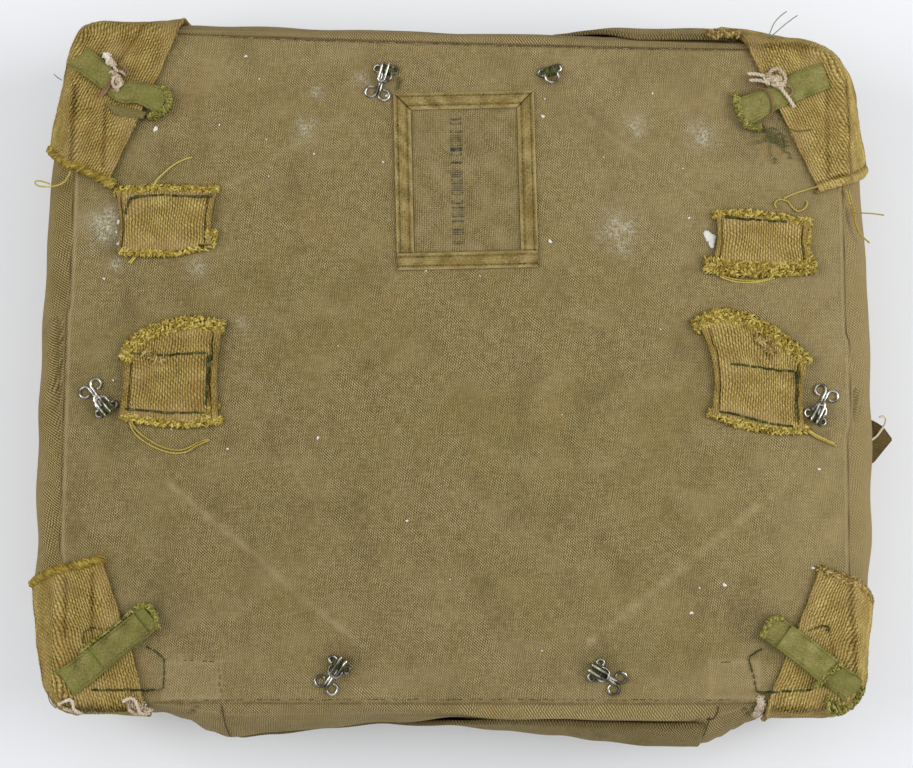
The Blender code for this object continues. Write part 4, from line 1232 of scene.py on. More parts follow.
# a pulled-out thread, in a loose tangle below the rear right tape
random = np.random.default_rng(150)
walks = random.normal(0, 0.0013, (9, 12, 2)) + (0.0004, -0.0005)
walks[:, 0] = (0.1395, 0.1160) + np.outer(random.uniform(0, 0.5, 9), (0.0060, -0.0090))
walks = smooth_rows(np.cumsum(walks, axis=1).transpose(1, 0, 2), np.linspace(0, 11, 60))
walks = walks.transpose(1, 0, 2)
lifts = 0.0006 + 0.0005 * (1 + waves(walks[..., 0], walks[..., 1], 0.003, 151))
put_tubes("green_thread_tangle", raised(walks, lifts), 0.00021, GREEN_THREAD, 5,
          random.uniform(0.55, 0.95, 9))

# ------------------------------------------------------------------ reinforcing tape loops
# Olive green herringbone tape, cut from the loops that once held the harness. Their ends have
# frayed and curled, and the front ones are doubled.
TAPE_THICKNESS = 0.0011
TAPE_RIM = 0.0005
TAPE_STEPS = (90, 36)
CHEVRON = 0.0032           # width of one zigzag of its herringbone
TWILL_PITCH = 0.0011
TAPE = dyed_cotton("Olive herringbone tape", "413d1c", "837b44", "aca46c", "747a36", share=0.5)
TAPE_YARN = dyed_cotton("Frayed tape yarn", "37350f", "827b36", "bdb56c", "787a2c", grain=0.0003)
Tape = namedtuple("Tape", "name tone knots")
# Knots along the middle of each tape: x, y, width and lift, in millimetres.
TAPES = (
    Tape("tape_rear_left", 0.46, ((-182.4, 149.4, 11.2, 3.0), (-177.5, 145.2, 11.6, 3.6),
                            (-172.6, 141.2, 11.4, 3.9), (-168.6, 137.4, 10.0, 3.2),
                            (-165.6, 133.8, 8.6, 3.0), (-160.8, 131.6, 10.6, 4.2),
                            (-154.0, 131.2, 10.4, 4.4), (-147.4, 129.2, 12.0, 3.8),
                            (-141.8, 126.8, 14.6, 3.4))),
    Tape("tape_rear_right", 0.54, ((168.6, 140.0, 12.8, 3.2), (160.4, 137.0, 13.0, 3.8),
                             (153.4, 133.6, 12.6, 3.6), (147.0, 130.4, 10.8, 3.2),
                             (140.6, 127.6, 12.0, 3.6), (133.6, 124.2, 13.4, 3.0),
                             (128.0, 121.6, 14.4, 3.4))),
    Tape("tape_front_left", 0.44, ((-184.2, -143.4, 13.4, 3.6), (-176.4, -137.8, 13.4, 3.6),
                             (-168.0, -131.0, 13.2, 3.2), (-158.8, -123.6, 13.2, 3.0),
                             (-150.6, -117.0, 13.0, 3.2), (-145.4, -112.4, 13.6, 3.6))),
    Tape("tape_front_left_top", 0.42, ((-169.8, -132.2, 11.6, 4.9), (-163.6, -127.4, 12.0, 5.2),
                                 (-156.4, -121.6, 11.8, 4.8), (-149.4, -115.8, 11.4, 5.0))),
    Tape("tape_front_right", 0.44, ((138.6, -116.8, 12.6, 3.4), (146.0, -122.6, 13.0, 3.2),
                              (154.4, -129.0, 13.0, 3.0), (163.4, -136.0, 13.0, 3.2),
                              (171.4, -142.4, 12.0, 3.2), (175.4, -146.2, 11.4, 3.4))),
    Tape("tape_front_right_top", 0.54, ((145.0, -121.8, 12.4, 4.8), (151.4, -126.6, 12.8, 5.2),
                                  (158.4, -132.0, 12.8, 5.2), (166.0, -138.4, 13.4, 4.8))),
)


def tape_plan(knots):
    """Plan, and lift along it, of a tape that follows its knots."""
    knots = metres(knots)

    def centre(u):
        spot = u * (len(knots) - 1)
        row = smooth_rows(knots, spot)
        ahead = smooth_rows(knots, np.minimum(spot + 0.1, len(knots) - 1))
        behind = smooth_rows(knots, np.maximum(spot - 0.1, 0))
        return row, unit(ahead[:, :2] - behind[:, :2])

    def plan(u, v):
        row, run = centre(u)
        aside = np.stack([-run[:, 1], run[:, 0]], axis=1)
        wobble = 0.00012 * np.sin(u * 90) * (2 * v - 1)
        places = row[:, :2] + aside * (row[:, 2] * (v - 0.5) + wobble)[:, None]
        return places.T
    return plan, centre


for tape in TAPES:
    plan, centre = tape_plan(tape.knots)
    knots = metres(tape.knots)
    length = float(np.linalg.norm(np.diff(knots[:, :2], axis=0), axis=1).sum())
    size = (length, float(knots[:, 2].mean()))

    def lifts(u, v):
        row = centre(u)[0]
        cup = 0.0008 * np.cos(math.pi * (v - 0.5)) * np.sin(math.pi * u) - 0.0003
        rim = rounded(from_sides(u, v, size), TAPE_RIM)
        rib = 0.00016 * bell(np.minimum(v, 1 - v) * size[1], 0.0008)
        under = row[:, 3] + cup + 0.0003 * waves(u * size[0], v * size[1], 0.012, 50)
        return under, under + TAPE_THICKNESS * rim + rib

    u, v = sheet_grid(TAPE_STEPS)
    from_edge = np.minimum(v, 1 - v) * size[1]
    chevron = np.abs(((v * size[1] / CHEVRON) % 2) - 1) * CHEVRON
    twill = np.sin(math.tau * (u * size[0] + chevron) / TWILL_PITCH)
    tone = np.clip(tape.tone + 0.10 * twill - 0.25 * bell(from_edge - 0.0012, 0.0003)
                   + 0.10 * waves(u * size[0], v * size[1], 0.009, 60), 0, 1)
    piece = lay_sheet(tape.name + "_cloth", plan, size, TAPE_STEPS, lifts, TAPE, STRAP_RISE,
                      tone=tone)
    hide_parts(tape.name)

UNDER_STEPS = (40, 12)
u, v = sheet_grid(UNDER_STEPS)


def under_lifts(u, v):
    """Underside and top of the thin layer."""
    return 0.0026 + 0 * u, 0.0034 + 0.0006 * np.sin(math.pi * v)


under = lay_sheet("tape_rear_left_under",
                  quad_plan(metres(((-165, 120.6), (-152, 119), (-150.2, 122.2), (-170, 126.8)))),
                  (0.019, 0.004), UNDER_STEPS, under_lifts, TAPE, STRAP_RISE,
                  tone=np.full(len(u), 0.20), faded=np.full(len(u), 0.20))
TAPE_FRAYS = (             # edge, width, yarn count, height and lift of the curls, in millimetres
    ("rear_left_end", ((-143.4, 133.6), (-140.4, 130.6), (-140.2, 126.4), (-142.8, 122.6),
                       (-149, 119.8)), 3.8, 420, 4, 1.6),
    ("rear_right_end", ((126.4, 130.8), (127.2, 125.6), (129, 119.8), (132.2, 115.8),
                        (137.6, 115.4)), 3.6, 400, 3.8, 1.4),
    ("front_left_end", ((-152, -108.8), (-147.4, -108), (-143.8, -111.6), (-142.2, -117.8)),
     3, 300, 3.4, 2.4),
    ("front_left_edge", ((-154, -110.6), (-163.8, -118.8), (-172, -124.8), (-177.6, -129.4)),
     1.4, 120, 1.6, 3),
    ("front_right_end", ((135.6, -122.4), (137.2, -117.8), (140.8, -113.8), (144.4, -114)),
     3, 280, 3, 2.4),
    ("front_right_mid", ((159.6, -144.6), (163.6, -141), (168.2, -136.8), (171, -134.6)),
     3.4, 280, 3.6, 3.4),
    ("front_right_far", ((164.6, -150.4), (171.6, -154.6), (177.4, -151.6), (181.4, -145.4)),
     5, 420, 4.4, 1.4),
)
for number, (name, edge, width, count, height, lift) in enumerate(TAPE_FRAYS):
    put_fray("tape_fray_" + name, [Band(edge, width, count, lift, height, 200 + number, 1.9)],
             0.00034, TAPE_YARN)

# ------------------------------------------------------------------ record pocket
# A duck panel sewn on the seat face, edged with folded cotton tape that is mitred at its corners
# and held by two rows of green stitches. The panel is left plain but for worn tick marks.
PANEL_THICKNESS = 0.0007
PANEL_LIFT = 0.0002
PANEL_STEPS = (100, 140)
PANEL_WEAVE = 1.15 * np.array(((0.68, 0.73, 0), (-0.73, 0.68, 0), (0, 0, 1)))   # square to it
TICK_PITCH = 0.0021
TICK_HALF = 0.0026
BINDING_WIDTH = 0.0080
BINDING_THICKNESS = 0.0013
BINDING_LIFT = 0.0005
BINDING_RIM = 0.0005
BINDING_STEPS = (120, 28)
BINDING_RIB = 0.0011
STITCH_ROWS = (0.0017, 0.0060)
CORNER_GAP = 0.00015
POCKET_TURN = math.radians(-1.4)
POCKET_CENTRE = np.array((-0.0007, 0.0902))
POCKET_SIZE = np.array((0.0660, 0.0840))
BINDING = dyed_cotton("Folded cotton binding", "3a3014", "7d6b3c", "bca772", "85692f")


def pocket_place(x, y):
    """Point of the pocket, from its own centre, on the seat face."""
    turn = np.array(((math.cos(POCKET_TURN), math.sin(POCKET_TURN)),
                     (-math.sin(POCKET_TURN), math.cos(POCKET_TURN))))
    return POCKET_CENTRE + turn @ np.array((x, y))


def pocket_corners(inset):
    """The pocket's corners, moved in by inset."""
    half = POCKET_SIZE / 2 - inset
    return [np.array(corner) * half for corner in ((-1, -1), (1, -1), (1, 1), (-1, 1))]


panel_size = tuple(POCKET_SIZE - 2 * BINDING_WIDTH + 0.001)


def panel_lifts(u, v):
    """Underside and top of the pocket's slack panel."""
    slack = 0.0006 * (1 + waves(u * 0.05, v * 0.07, 0.022, 70))
    slack *= np.sin(math.pi * u) * np.sin(math.pi * v)
    return PANEL_LIFT + slack * 0.5, PANEL_LIFT + slack + PANEL_THICKNESS


u, v = sheet_grid(PANEL_STEPS)
across, along = (u - 0.42) * panel_size[0], v * panel_size[1]
cell, tick = np.floor(along / TICK_PITCH).astype(int), (along % TICK_PITCH) / TICK_PITCH
marks = np.random.default_rng(19).integers(0, 7, 40)[cell] // 2
stamped = np.select([marks == 0, marks == 1, marks == 2],
                    [tick < 0.5, (tick < 0.25) | (np.abs(tick - 0.6) < 0.14),
                     (tick < 0.28) | (np.abs(across) > 0.0018) & (tick < 0.75)], tick < 0)
ink = stamped * (np.abs(across) < TICK_HALF) * (v > 0.05) * (v < 0.93) * np.clip(
    0.68 + 0.34 * waves(across, along, 0.0040, 71), 0, 1)
edge_gap = from_sides(u, v, panel_size)
# the panel is drawn a little darker all over, with painted shade along its edges under the binding
panel = lay_sheet("pocket_panel", quad_plan([pocket_place(*spot) for spot in
                                             pocket_corners(BINDING_WIDTH - 0.0005)]),
                  panel_size, PANEL_STEPS, panel_lifts, CANVAS, weave=PANEL_WEAVE, ink=ink,
                  wear=np.clip(0.08 + 0.16 * waves(across, along, 0.012, 72), 0, 1),
                  soil=0.06 + 0.65 * bell(edge_gap, 0.0010))
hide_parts("pocket")

OUTER, INNER = pocket_corners(0), pocket_corners(BINDING_WIDTH)
# the front strip runs the whole width, and the side strips stop at it
FRONT_LEFT, FRONT_RIGHT = (np.array((out[0], into[1])) for out, into in zip(OUTER[:2], INNER[:2]))
STRIPS = ((OUTER[0], OUTER[1], FRONT_RIGHT, FRONT_LEFT),
          (FRONT_RIGHT, OUTER[2], INNER[2], INNER[1]),
          (OUTER[2], OUTER[3], INNER[3], INNER[2]), (OUTER[3], FRONT_LEFT, INNER[0], INNER[3]))
sewn, edging = [], []
for here, side in enumerate(("front", "right", "rear", "left")):
    after = (here + 1) % 4
    along_side = unit(OUTER[after] - OUTER[here]) * CORNER_GAP
    start, end, end_in, start_in = STRIPS[here]
    strip = [pocket_place(*spot) for spot in
             (start + along_side, end - along_side, end_in - along_side, start_in + along_side)]
    length = float(np.linalg.norm(end - start))
    size = (length, BINDING_WIDTH)

    def fold_height(v):
        """The tape's two folded edges stand up and each row of stitches draws a groove."""
        groove = sum(bell(v * BINDING_WIDTH - row, 0.00040) for row in STITCH_ROWS)
        return 0.00030 * np.sin(math.pi * v) - 0.00028 * groove

    def binding_lifts(u, v):
        rim = rounded(from_sides(u, v, size), BINDING_RIM, 0.25)
        body = fold_height(v) + 0.00018 * waves(u * length, v * BINDING_WIDTH, 0.007, 80 + here)
        return BINDING_LIFT + 0 * u, BINDING_LIFT + (BINDING_THICKNESS + body) * rim

    u, v = sheet_grid(BINDING_STEPS)
    edge = np.minimum(v, 1 - v) * BINDING_WIDTH
    # painted highlight on the tape's raised folds and edges, painted shade in its stitched grooves
    tone = np.clip(0.44 + 600 * fold_height(v) + 0.50 * bell(edge, 0.0008)
                   + 0.06 * np.sin(math.tau * v * BINDING_WIDTH / BINDING_RIB)
                   + 0.12 * waves(u * length, v * BINDING_WIDTH, 0.010, 90 + here), 0, 1)
    piece = lay_sheet("pocket_edging_" + side, quad_plan(strip), size, BINDING_STEPS, binding_lifts,
                      BINDING, tone=tone)
    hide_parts("pocket_binding_" + side)
    edging.append(piece)
    for row in STITCH_ROWS:
        into = unit(INNER[here] - OUTER[here]) * row * math.sqrt(2)
        into_after = unit(INNER[after] - OUTER[after]) * row * math.sqrt(2)
        line = [pocket_place(*(OUTER[here] + into)), pocket_place(*(OUTER[after] + into_after))]
        sewn.append(stitches(line, stitch=0.0017, gap=0.0009, lift=0.0015, slack=0.00022))
paths = np.concatenate(sewn)
put_tubes("pocket_stitching", paths, 0.00030, GREEN_THREAD, 5,
          np.random.default_rng(8).uniform(0.2, 0.7, len(paths)))

# ------------------------------------------------------------------ hooks and eyes
# Bent wire hooks and eyes, tinned steel gone dull in places, its colour darkened in patches as
# painted reflections. Green thread sews the eyes down through their ears, and each closed hook is
# caught over its eye's loop.
WIRE = 0.00122
TINNED_WIRE, tree, shader = new_material("Tinned steel wire", metallic=1.0)
place = add_node(tree, "TexCoord").outputs["Object"]
dull_and_dark_reflection = add_node(tree, "TexNoise", {"Vector": place, "Scale": 230.0, "Detail": 1.0})
# dark patches in the wire's colour are painted reflections of dark surroundings; there it is also
# duller
ramp = colour_ramp(tree, dull_and_dark_reflection, "5f5b50", "e2dfd6", low=0.40, high=0.62)
tree.links.new(ramp.outputs[0], shader.inputs["Base Color"])
dull = add_node(tree, "MapRange", {"Value": dull_and_dark_reflection, "From Min": 0.35, "From Max": 0.6,
                                   "To Min": 0.42, "To Max": 0.16})
tree.links.new(dull.outputs[0], shader.inputs["Roughness"])
WIRE_SEAT = WIRE / 2 + 0.0002
WIRE_STEP = WIRE + 0.0003
EYE_THREAD = dyed_cotton("Olive buttonhole thread", "1f2110", "4a4e2a", "82804e", "363d20",
                         grain=0.0003)
EYE_YARNS = 56


def ear(middle_y, radius, lift):
    """Nearly closed sewing loop, from its open end round to the inner side."""
    turns = np.radians((-20, 25, 70, 115, 160, 205, 240, 270))
    return [(radius * math.cos(turn), middle_y + radius * math.sin(turn), lift) for turn in turns]


def whole(half):
    """A fitting's half and its mirror image, as one smooth path."""
    half = np.array(half)
    other = half[-2::-1] * (1, -1, 1)
    knots = np.concatenate([half, other])
    return smooth_rows(knots, np.linspace(0, len(knots) - 1, 8 * len(knots)))


UP = WIRE_SEAT + WIRE_STEP
EYE_PATH = whole(ear(0.0039, 0.0016, WIRE_SEAT) + [
    (0.0012, 0.0025, WIRE_SEAT + 0.3 * WIRE_STEP), (0.0026, 0.0030, UP), (0.0045, 0.0028, UP),
    (0.0058, 0.0017, UP), (0.0063, 0.0, UP)])
TOP = WIRE_SEAT + 2 * WIRE_STEP
HOOK_PATH = whole(ear(0.0032, 0.0025, WIRE_SEAT) + [
    (0.0018, 0.0007, WIRE_SEAT), (0.0050, 0.0006, WIRE_SEAT), (0.0090, 0.0006, WIRE_SEAT),
    (0.0118, 0.0009, WIRE_SEAT), (0.0138, 0.0013, WIRE_SEAT), (0.0148, 0.00145, WIRE_SEAT + 0.0005),
    (0.0151, 0.00148, WIRE_SEAT + WIRE_STEP), (0.0147, 0.00148, TOP - 0.0004),
    (0.0136, 0.00148, TOP), (0.0110, 0.00145, TOP), (0.0085, 0.00145, TOP), (0.0066, 0.0014, TOP),
    (0.0057, 0.0009, TOP), (0.0053, 0.0, TOP)])
HOOK_LENGTH = 0.0152
Fastener = namedtuple("Fastener", "name x y heading hook_past lean")
FASTENERS = (
    Fastener("rear_left", -0.0383, 0.1432, -96, 0.0030, -10),
    Fastener("rear_right", 0.0389, 0.1428, -72, None, 0),
    Fastener("side_left", -0.1676, -0.0172, 122, 0.0028, 5),
    Fastener("side_right", 0.1616, -0.0210, 58, 0.0026, 5),
    Fastener("front_left", -0.0588, -0.1350, -126, 0.0040, 2),
    Fastener("front_right", 0.0592, -0.1375, -32, 0.0036, 0),
)


def laid_out(path, x, y, heading):
    """A fitting's path, turned to its heading and laid on the seat face."""
    way = np.array((math.cos(heading), math.sin(heading), 0))
    up = cover_normal(np.array([x]), np.array([y]), 0.006)[0]
    across = unit(np.cross(up, way))
    way = np.cross(across, up)
    return cover_at(np.array([x]), np.array([y]))[0] + path @ np.array((way, across, up))


for number, fastener in enumerate(FASTENERS):
    loop_way = math.radians(fastener.heading)
    eye = put_tubes("eye_wire_" + fastener.name,
                    [laid_out(EYE_PATH, fastener.x, fastener.y, loop_way)], WIRE / 2, TINNED_WIRE,
                    12)
    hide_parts("eye_" + fastener.name)
    random = np.random.default_rng(300 + number)
    spot = random.uniform(-0.0031, 0.0031, EYE_YARNS)
    reach = random.uniform(0.6, 1.0, EYE_YARNS) * 0.0023
    share = np.linspace(-1, 1, 7)
    bundle = np.stack([0.0004 + reach[:, None] * share + random.normal(0, 0.0003, (EYE_YARNS, 1)),
                       spot[:, None] + random.normal(0, 0.0006, (EYE_YARNS, 1)) * share,
                       0.0003 + random.uniform(0.0011, 0.0022, (EYE_YARNS, 1))
                       * np.cos(share * math.pi / 2) ** 0.6], axis=-1)
    threads = [laid_out(path, fastener.x, fastener.y, loop_way) for path in bundle]
    put_tubes("eye_thread_" + fastener.name, threads, 0.00030, EYE_THREAD, 5,
              random.uniform(0.3, 1.0, EYE_YARNS))
    if fastener.hook_past is None:
        continue
    hook_way = math.radians(fastener.heading + 180 + fastener.lean)
    front = np.array((fastener.x, fastener.y)) - fastener.hook_past * np.array(
        (math.cos(loop_way), math.sin(loop_way)))
    ears = front - HOOK_LENGTH * np.array((math.cos(hook_way), math.sin(hook_way)))
    hook = put_tubes("hook_wire_" + fastener.name, [laid_out(HOOK_PATH, *ears, hook_way)], WIRE / 2,
                     TINNED_WIRE, 12)
    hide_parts("hook_" + fastener.name)

# ------------------------------------------------------------------ lashings and loose threads
# Two-ply cotton cord, once white, tied round the rear tape loops, and the ends of yarns that have
# pulled out of the webbing.
LASHING_CORD = dyed_cotton("Two-ply cotton cord", "6e5a44", "cfbb9e", "f5efe0", "b29080",
                           grain=0.0003)
GREY_THREAD = dyed_cotton("Grey linen thread", "4b4a3d", "77745f", "a19d83", "6b6a55", grain=0.0003)


def twisted(knots, radius, lay):
    """Two plies that turn round each other along knots of x, y and lift, in millimetres."""
    knots = metres(knots)
    length = np.linalg.norm(np.diff(knots[:, :2], axis=0), axis=1).sum()
    steps = max(16, int(length / (lay / 6)))
    row = smooth_rows(knots, np.linspace(0, len(knots) - 1, steps))
    line = raised(row[None, :, :2], row[None, :, 2], STRAP_RISE)[0]
    run = unit(np.gradient(line, axis=0))
    aside = unit(np.cross(run, (0, 0, 1.0)))
    other = np.cross(run, aside)
    turn = np.cumsum(np.linalg.norm(np.gradient(line, axis=0), axis=1)) / lay * math.tau
    plies = []
    for phase in (0, math.pi):
        plies.append(line + radius * 0.55 * (aside * np.cos(turn + phase)[:, None]
                                             + other * np.sin(turn + phase)[:, None]))
    return tubes(plies, radius * 0.62, 6)


def put_cord(name, runs, radius, lay, material):
    """Several twisted lengths of cord as one piece. runs are knots of x, y and lift."""
    points, faces, tones, start = [], [], [], 0
    random = np.random.default_rng(len(name))
    for knots in runs:
        more, quads = twisted(knots, radius, lay)
        points.append(more)
        faces += [tuple(start + corner for corner in face) for face in quads]
        tones.append(np.full(len(more), random.uniform(0.45, 0.75)))
        start += len(more)
    piece = put_piece(name, np.concatenate(points), faces, material, tone=np.concatenate(tones))
    return piece


left = put_cord("lashing_cord_rear_left", (
    ((-169.4, 148.6, 4), (-167.4, 146, 5.2), (-165.6, 143.4, 5.8), (-163.8, 141, 5.4)),
    ((-168.2, 149.2, 4), (-166.4, 146.6, 5), (-164.8, 144, 5.4)),
    ((-163.6, 141.8, 4.4), (-162, 141.2, 4.2), (-160.6, 140, 3.8)),
    ((-165.4, 138.6, 6), (-166.2, 135.6, 6), (-164.2, 133.4, 6), (-162.2, 134.8, 6.2),
     (-163, 137.4, 6.2)),
), 0.00070, 0.0030, LASHING_CORD)
put_fray("lashing_knot_rear_left", [
    Band(((-166.2, 141.2), (-163.6, 137), (-164.4, 133)), 4.2, 44, 3.6, 3, 160, 3.4),
], 0.00052, LASHING_CORD, sides=6, tone=(0.10, 0.5))
put_fray("lashing_tuft_rear_left", [
    Band(((-170, 149.6), (-167.2, 145.2)), 3.4, 26, 3.6, 2.6, 162, 3.4),
], 0.00040, LASHING_CORD, sides=5, tone=(0.6, 0.4))
put_fray("lashing_knot_rear_right", [
    Band(((140, 138.2), (144, 137.2), (147.5, 133.8)), 4.6, 44, 4, 3, 161, 3.6),
], 0.00056, LASHING_CORD, sides=6, tone=(0.15, 0.5))
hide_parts("lashing_rear_left")
right = put_cord("lashing_cord_rear_right", (
    ((132, 140.6, 3.4), (135.6, 140.2, 4.4), (139.2, 139.2, 5), (142.2, 138.4, 5.4)),
    ((132.8, 137.4, 3.4), (136.4, 137.2, 4.4), (139.6, 136.4, 5.2), (141.8, 134.8, 5.6)),
    ((141, 137.6, 5.2), (142.6, 141.4, 5), (146.2, 142.4, 5.2), (148.6, 139.6, 5.8),
     (149, 136.4, 6), (146.4, 134.4, 6), (142.6, 134.8, 5.8)),
    ((142.4, 136.4, 5.8), (145.2, 138.6, 6.2), (147.2, 136.8, 6.6)),
    ((144.8, 135.6, 6), (147.4, 132.4, 6), (150.4, 128.6, 5.6), (153.4, 124.6, 3.8)),
), 0.00088, 0.0036, LASHING_CORD)
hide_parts("lashing_rear_right")
RED_CORD = dyed_cotton("Red-brown cotton cord", "43301c", "8e7050", "bb9f80", "7a5b40",
                       grain=0.0003)
put_cord("lashing_cord_brown", (
    ((-166.4, 138.4, 5.2), (-168.6, 134.8, 5), (-171, 131.4, 4.2), (-172.6, 129.4, 3.6)),
    ((-165.8, 137.8, 5.4), (-168, 134, 5.2), (-170.6, 130.8, 4.2), (-173.4, 130.6, 3.4)),
    ((-163.4, 145.2, 4.6), (-160.8, 143.6, 4.8), (-159, 141, 5), (-160.4, 138.6, 5.6)),
    ((133.4, 132.6, 4.6), (136.6, 133.4, 5.4), (140, 131.8, 5.6), (142.2, 128.4, 5.6),
     (143, 123.8, 5.4), (142.4, 120, 4.4)),
    ((147.2, 134, 5.6), (149.8, 134.6, 5.8), (152.4, 132.4, 5.8), (151.4, 129.8, 5.6),
     (148.6, 130.6, 5.6)),
), 0.00050, 0.0024, RED_CORD)
put_cord("corner_cord_front", (
    ((-188.6, -153.4, 2.8), (-185.6, -150.4, 3.8), (-181.8, -150, 3.8), (-179, -153, 3.6),
     (-178.4, -156.6, 3)),
    ((-187, -156, 2.8), (-184.2, -152.8, 3.8), (-181, -154.4, 3.4), (-180.4, -157.4, 3)),
    ((-158, -151.4, 2.8), (-154.2, -150, 3.8), (-151.2, -152, 3.8), (-149.8, -155, 3.4),
     (-146.6, -156.6, 2.8)),
    ((-155.4, -152.6, 3.4), (-152.4, -154.6, 3.4), (-150.8, -157.6, 2.8)),
), 0.00085, 0.0032, LASHING_CORD)
put_fray("corner_cord_ends", (
    Band(((135.2, -150.2), (135.2, -155), (133.8, -162)), 5, 120, 0.4, 1.4, 163, 2.6),
    Band(((-156, -152), (-150, -153), (-146.5, -156.5)), 3.6, 60, 1.6, 2.2, 164, 3),
), 0.00036, LASHING_CORD, 0.0, tone=(0.15, 0.6))

# Loose yarn ends: knots of x, y and lift in millimetres.
GOLD_ENDS = (
    ((-184.6, 95, 3), (-185.2, 92.4, 3.6), (-187.4, 90.2, 3.6), (-191, 88.8, 4.2),
     (-195.4, 88.4, 6), (-199.4, 88.8, 8.5), (-202, 90, 10), (-202.2, 91.6, 10),
     (-199, 91.2, 8.5), (-195.6, 89.8, 6)),
    ((-147, 85.6, 2.4), (-145.2, 89.8, 2.4), (-142.4, 93.1, 1.6), (-138.3, 96.9, 1),
     (-133.6, 99.7, 0.8), (-129, 101.2, 0.6)),
    ((165.6, 87.6, 3.4), (159.5, 86, 1.6), (153.4, 84.1, 0.8), (148.2, 81.7, 0.8)),
    ((144.9, 77, 1), (144, 79.4, 0.8), (146.3, 81.2, 0.8), (150.1, 80.3, 0.8),
     (152.4, 77.5, 0.8), (154.7, 75.6, 1.2), (158, 77, 1.2), (159.4, 79.4, 1),
     (159, 80.8, 0.8)),
    ((176, 86, 3), (179, 81.6, 1.8), (183, 76.7, 1), (185.9, 71.4, 1),
     (188.7, 66.6, 2), (192, 62.5, 5)),
    ((177.4, 86, 3), (182, 80.4, 1.6), (185, 76.8, 1), (186.2, 72, 0.8),
     (188.4, 67.2, 1.2)),
    ((-156.6, -22.9, 2), (-154.9, -27.5, 0.9), (-150.7, -31.7, 0.6), (-144.2, -35.4, 0.6),
     (-136.7, -37.7, 0.6), (-130.2, -37.2, 0.7), (-125.6, -34.5, 0.9), (-119.2, -31.7, 0.6)),
    ((-155.9, -22.4, 2), (-153.5, -27, 0.9), (-148.8, -30.7, 0.6), (-142.3, -34.5, 0.6),
     (-135.8, -36.3, 0.6), (-130.3, -35.8, 1.1), (-125.2, -33.1, 0.7), (-119.7, -31.2, 0.6)),
    ((157, -27, 2.4), (161.1, -29.8, 1.2), (166.2, -32.1, 0.8), (171.7, -34.5, 0.6)),
    ((157.4, -26.6, 2), (161.6, -29.2, 1.4), (166.6, -31.5, 1), (170.6, -33.2, 0.6)),
    ((117.8, 44.6, 1.4), (123, 42.8, 0.6), (128.2, 42, 0.5), (135.6, 42.2, 0.5),
     (143.5, 44, 1)),
    ((118.6, 45.2, 1.4), (124, 43.6, 0.6), (130.2, 42.9, 0.5), (136.6, 42.9, 0.5),
     (142.5, 44.8, 1)),
    ((-154.8, 56.8, 1.4), (-156.2, 53.6, 0.8), (-158.6, 51.2, 0.5)),
    ((-153.8, 56.8, 1.4), (-155.2, 53.8, 0.8), (-157.4, 51, 0.5)),
)


def thread_paths(ends, steps=40):
    """Paths of loose yarns above the pack, along knots of x, y and lift in millimetres."""
    rows = np.array([smooth_rows(metres(knots), np.linspace(0, len(knots) - 1, steps))
                     for knots in ends])
    return raised(rows[..., :2], rows[..., 2])


put_tubes("loose_yarns_golden", thread_paths(GOLD_ENDS), 0.00040, YARN, 6,
          np.random.default_rng(5).uniform(0.6, 0.85, len(GOLD_ENDS)))
GREEN_ENDS = (
    ((145, 121, 3), (148.2, 116.8, 2.2), (151, 114.5, 3), (154.7, 113.3, 3.4),
     (161.3, 114, 3.6)),
    ((138.6, 117, 1.4), (141.2, 113.4, 0.8), (143, 109.6, 0.6), (146.2, 107.4, 0.8),
     (148.2, 104.6, 1.2)),
    ((-33.4, 133.4, 0.8), (-32, 136, 0.8), (-30.4, 138.4, 0.6)),
    ((-31.6, 134, 0.8), (-32.6, 136.8, 0.8), (-32, 139.6, 0.6)),
)
put_tubes("loose_threads_green", thread_paths(GREEN_ENDS), 0.00026, GREEN_THREAD, 6,
          np.full(len(GREEN_ENDS), 0.75))
GREY_ENDS = (
    ((142.6, 158.4, 3.6), (144, 163.8, 5), (146, 170, 8.5), (148.6, 174.5, 12),
     (151.6, 177.5, 15)),
    ((143.2, 158.2, 3.6), (146.6, 163.4, 5), (150.6, 167, 8.5), (155, 169.5, 12),
     (158, 170, 13.5)),
    ((-195.2, -147.8, 3), (-195.6, -152.9, 4), (-194.8, -157.4, 4)),
    ((-197, 141, 2.6), (-199.4, 142.6, 4.2), (-201.2, 144.4, 5.6)),
)
put_tubes("loose_threads_grey", thread_paths(GREY_ENDS, 30), 0.00022, GREY_THREAD, 6,
          np.full(len(GREY_ENDS), 0.5))
right_end = ((181.6, 76.6, 1.4), (186.6, 76.4, 3.0), (190.0, 76.3, 6.0), (194.0, 76.2, 9.0),
             (198.0, 76.2, 11.0))
put_tubes("loose_yarn_right", thread_paths((right_end,), 20), 0.00034, YARN, 6,
          np.array([0.55]))

# ------------------------------------------------------------------ tab at the right wall
# The flat, stained end of a tab that is sewn inside the pack, with a white tacking thread.
TAB_HEIGHT = 0.047
TAB_THICKNESS = 0.0022
TAB_ROOT_X = 0.1968
TAB_OUTLINE = ((-0.0010, -0.0185), (0.0020, -0.0198), (0.0057, -0.0222), (0.0102, -0.0285),
               (0.0060, -0.0335), (0.0010, -0.0396), (-0.0012, -0.0408))
TAB_WEB = dyed_cotton("Stained tab webbing", "2e2410", "65552f", "988555", "453a1f")


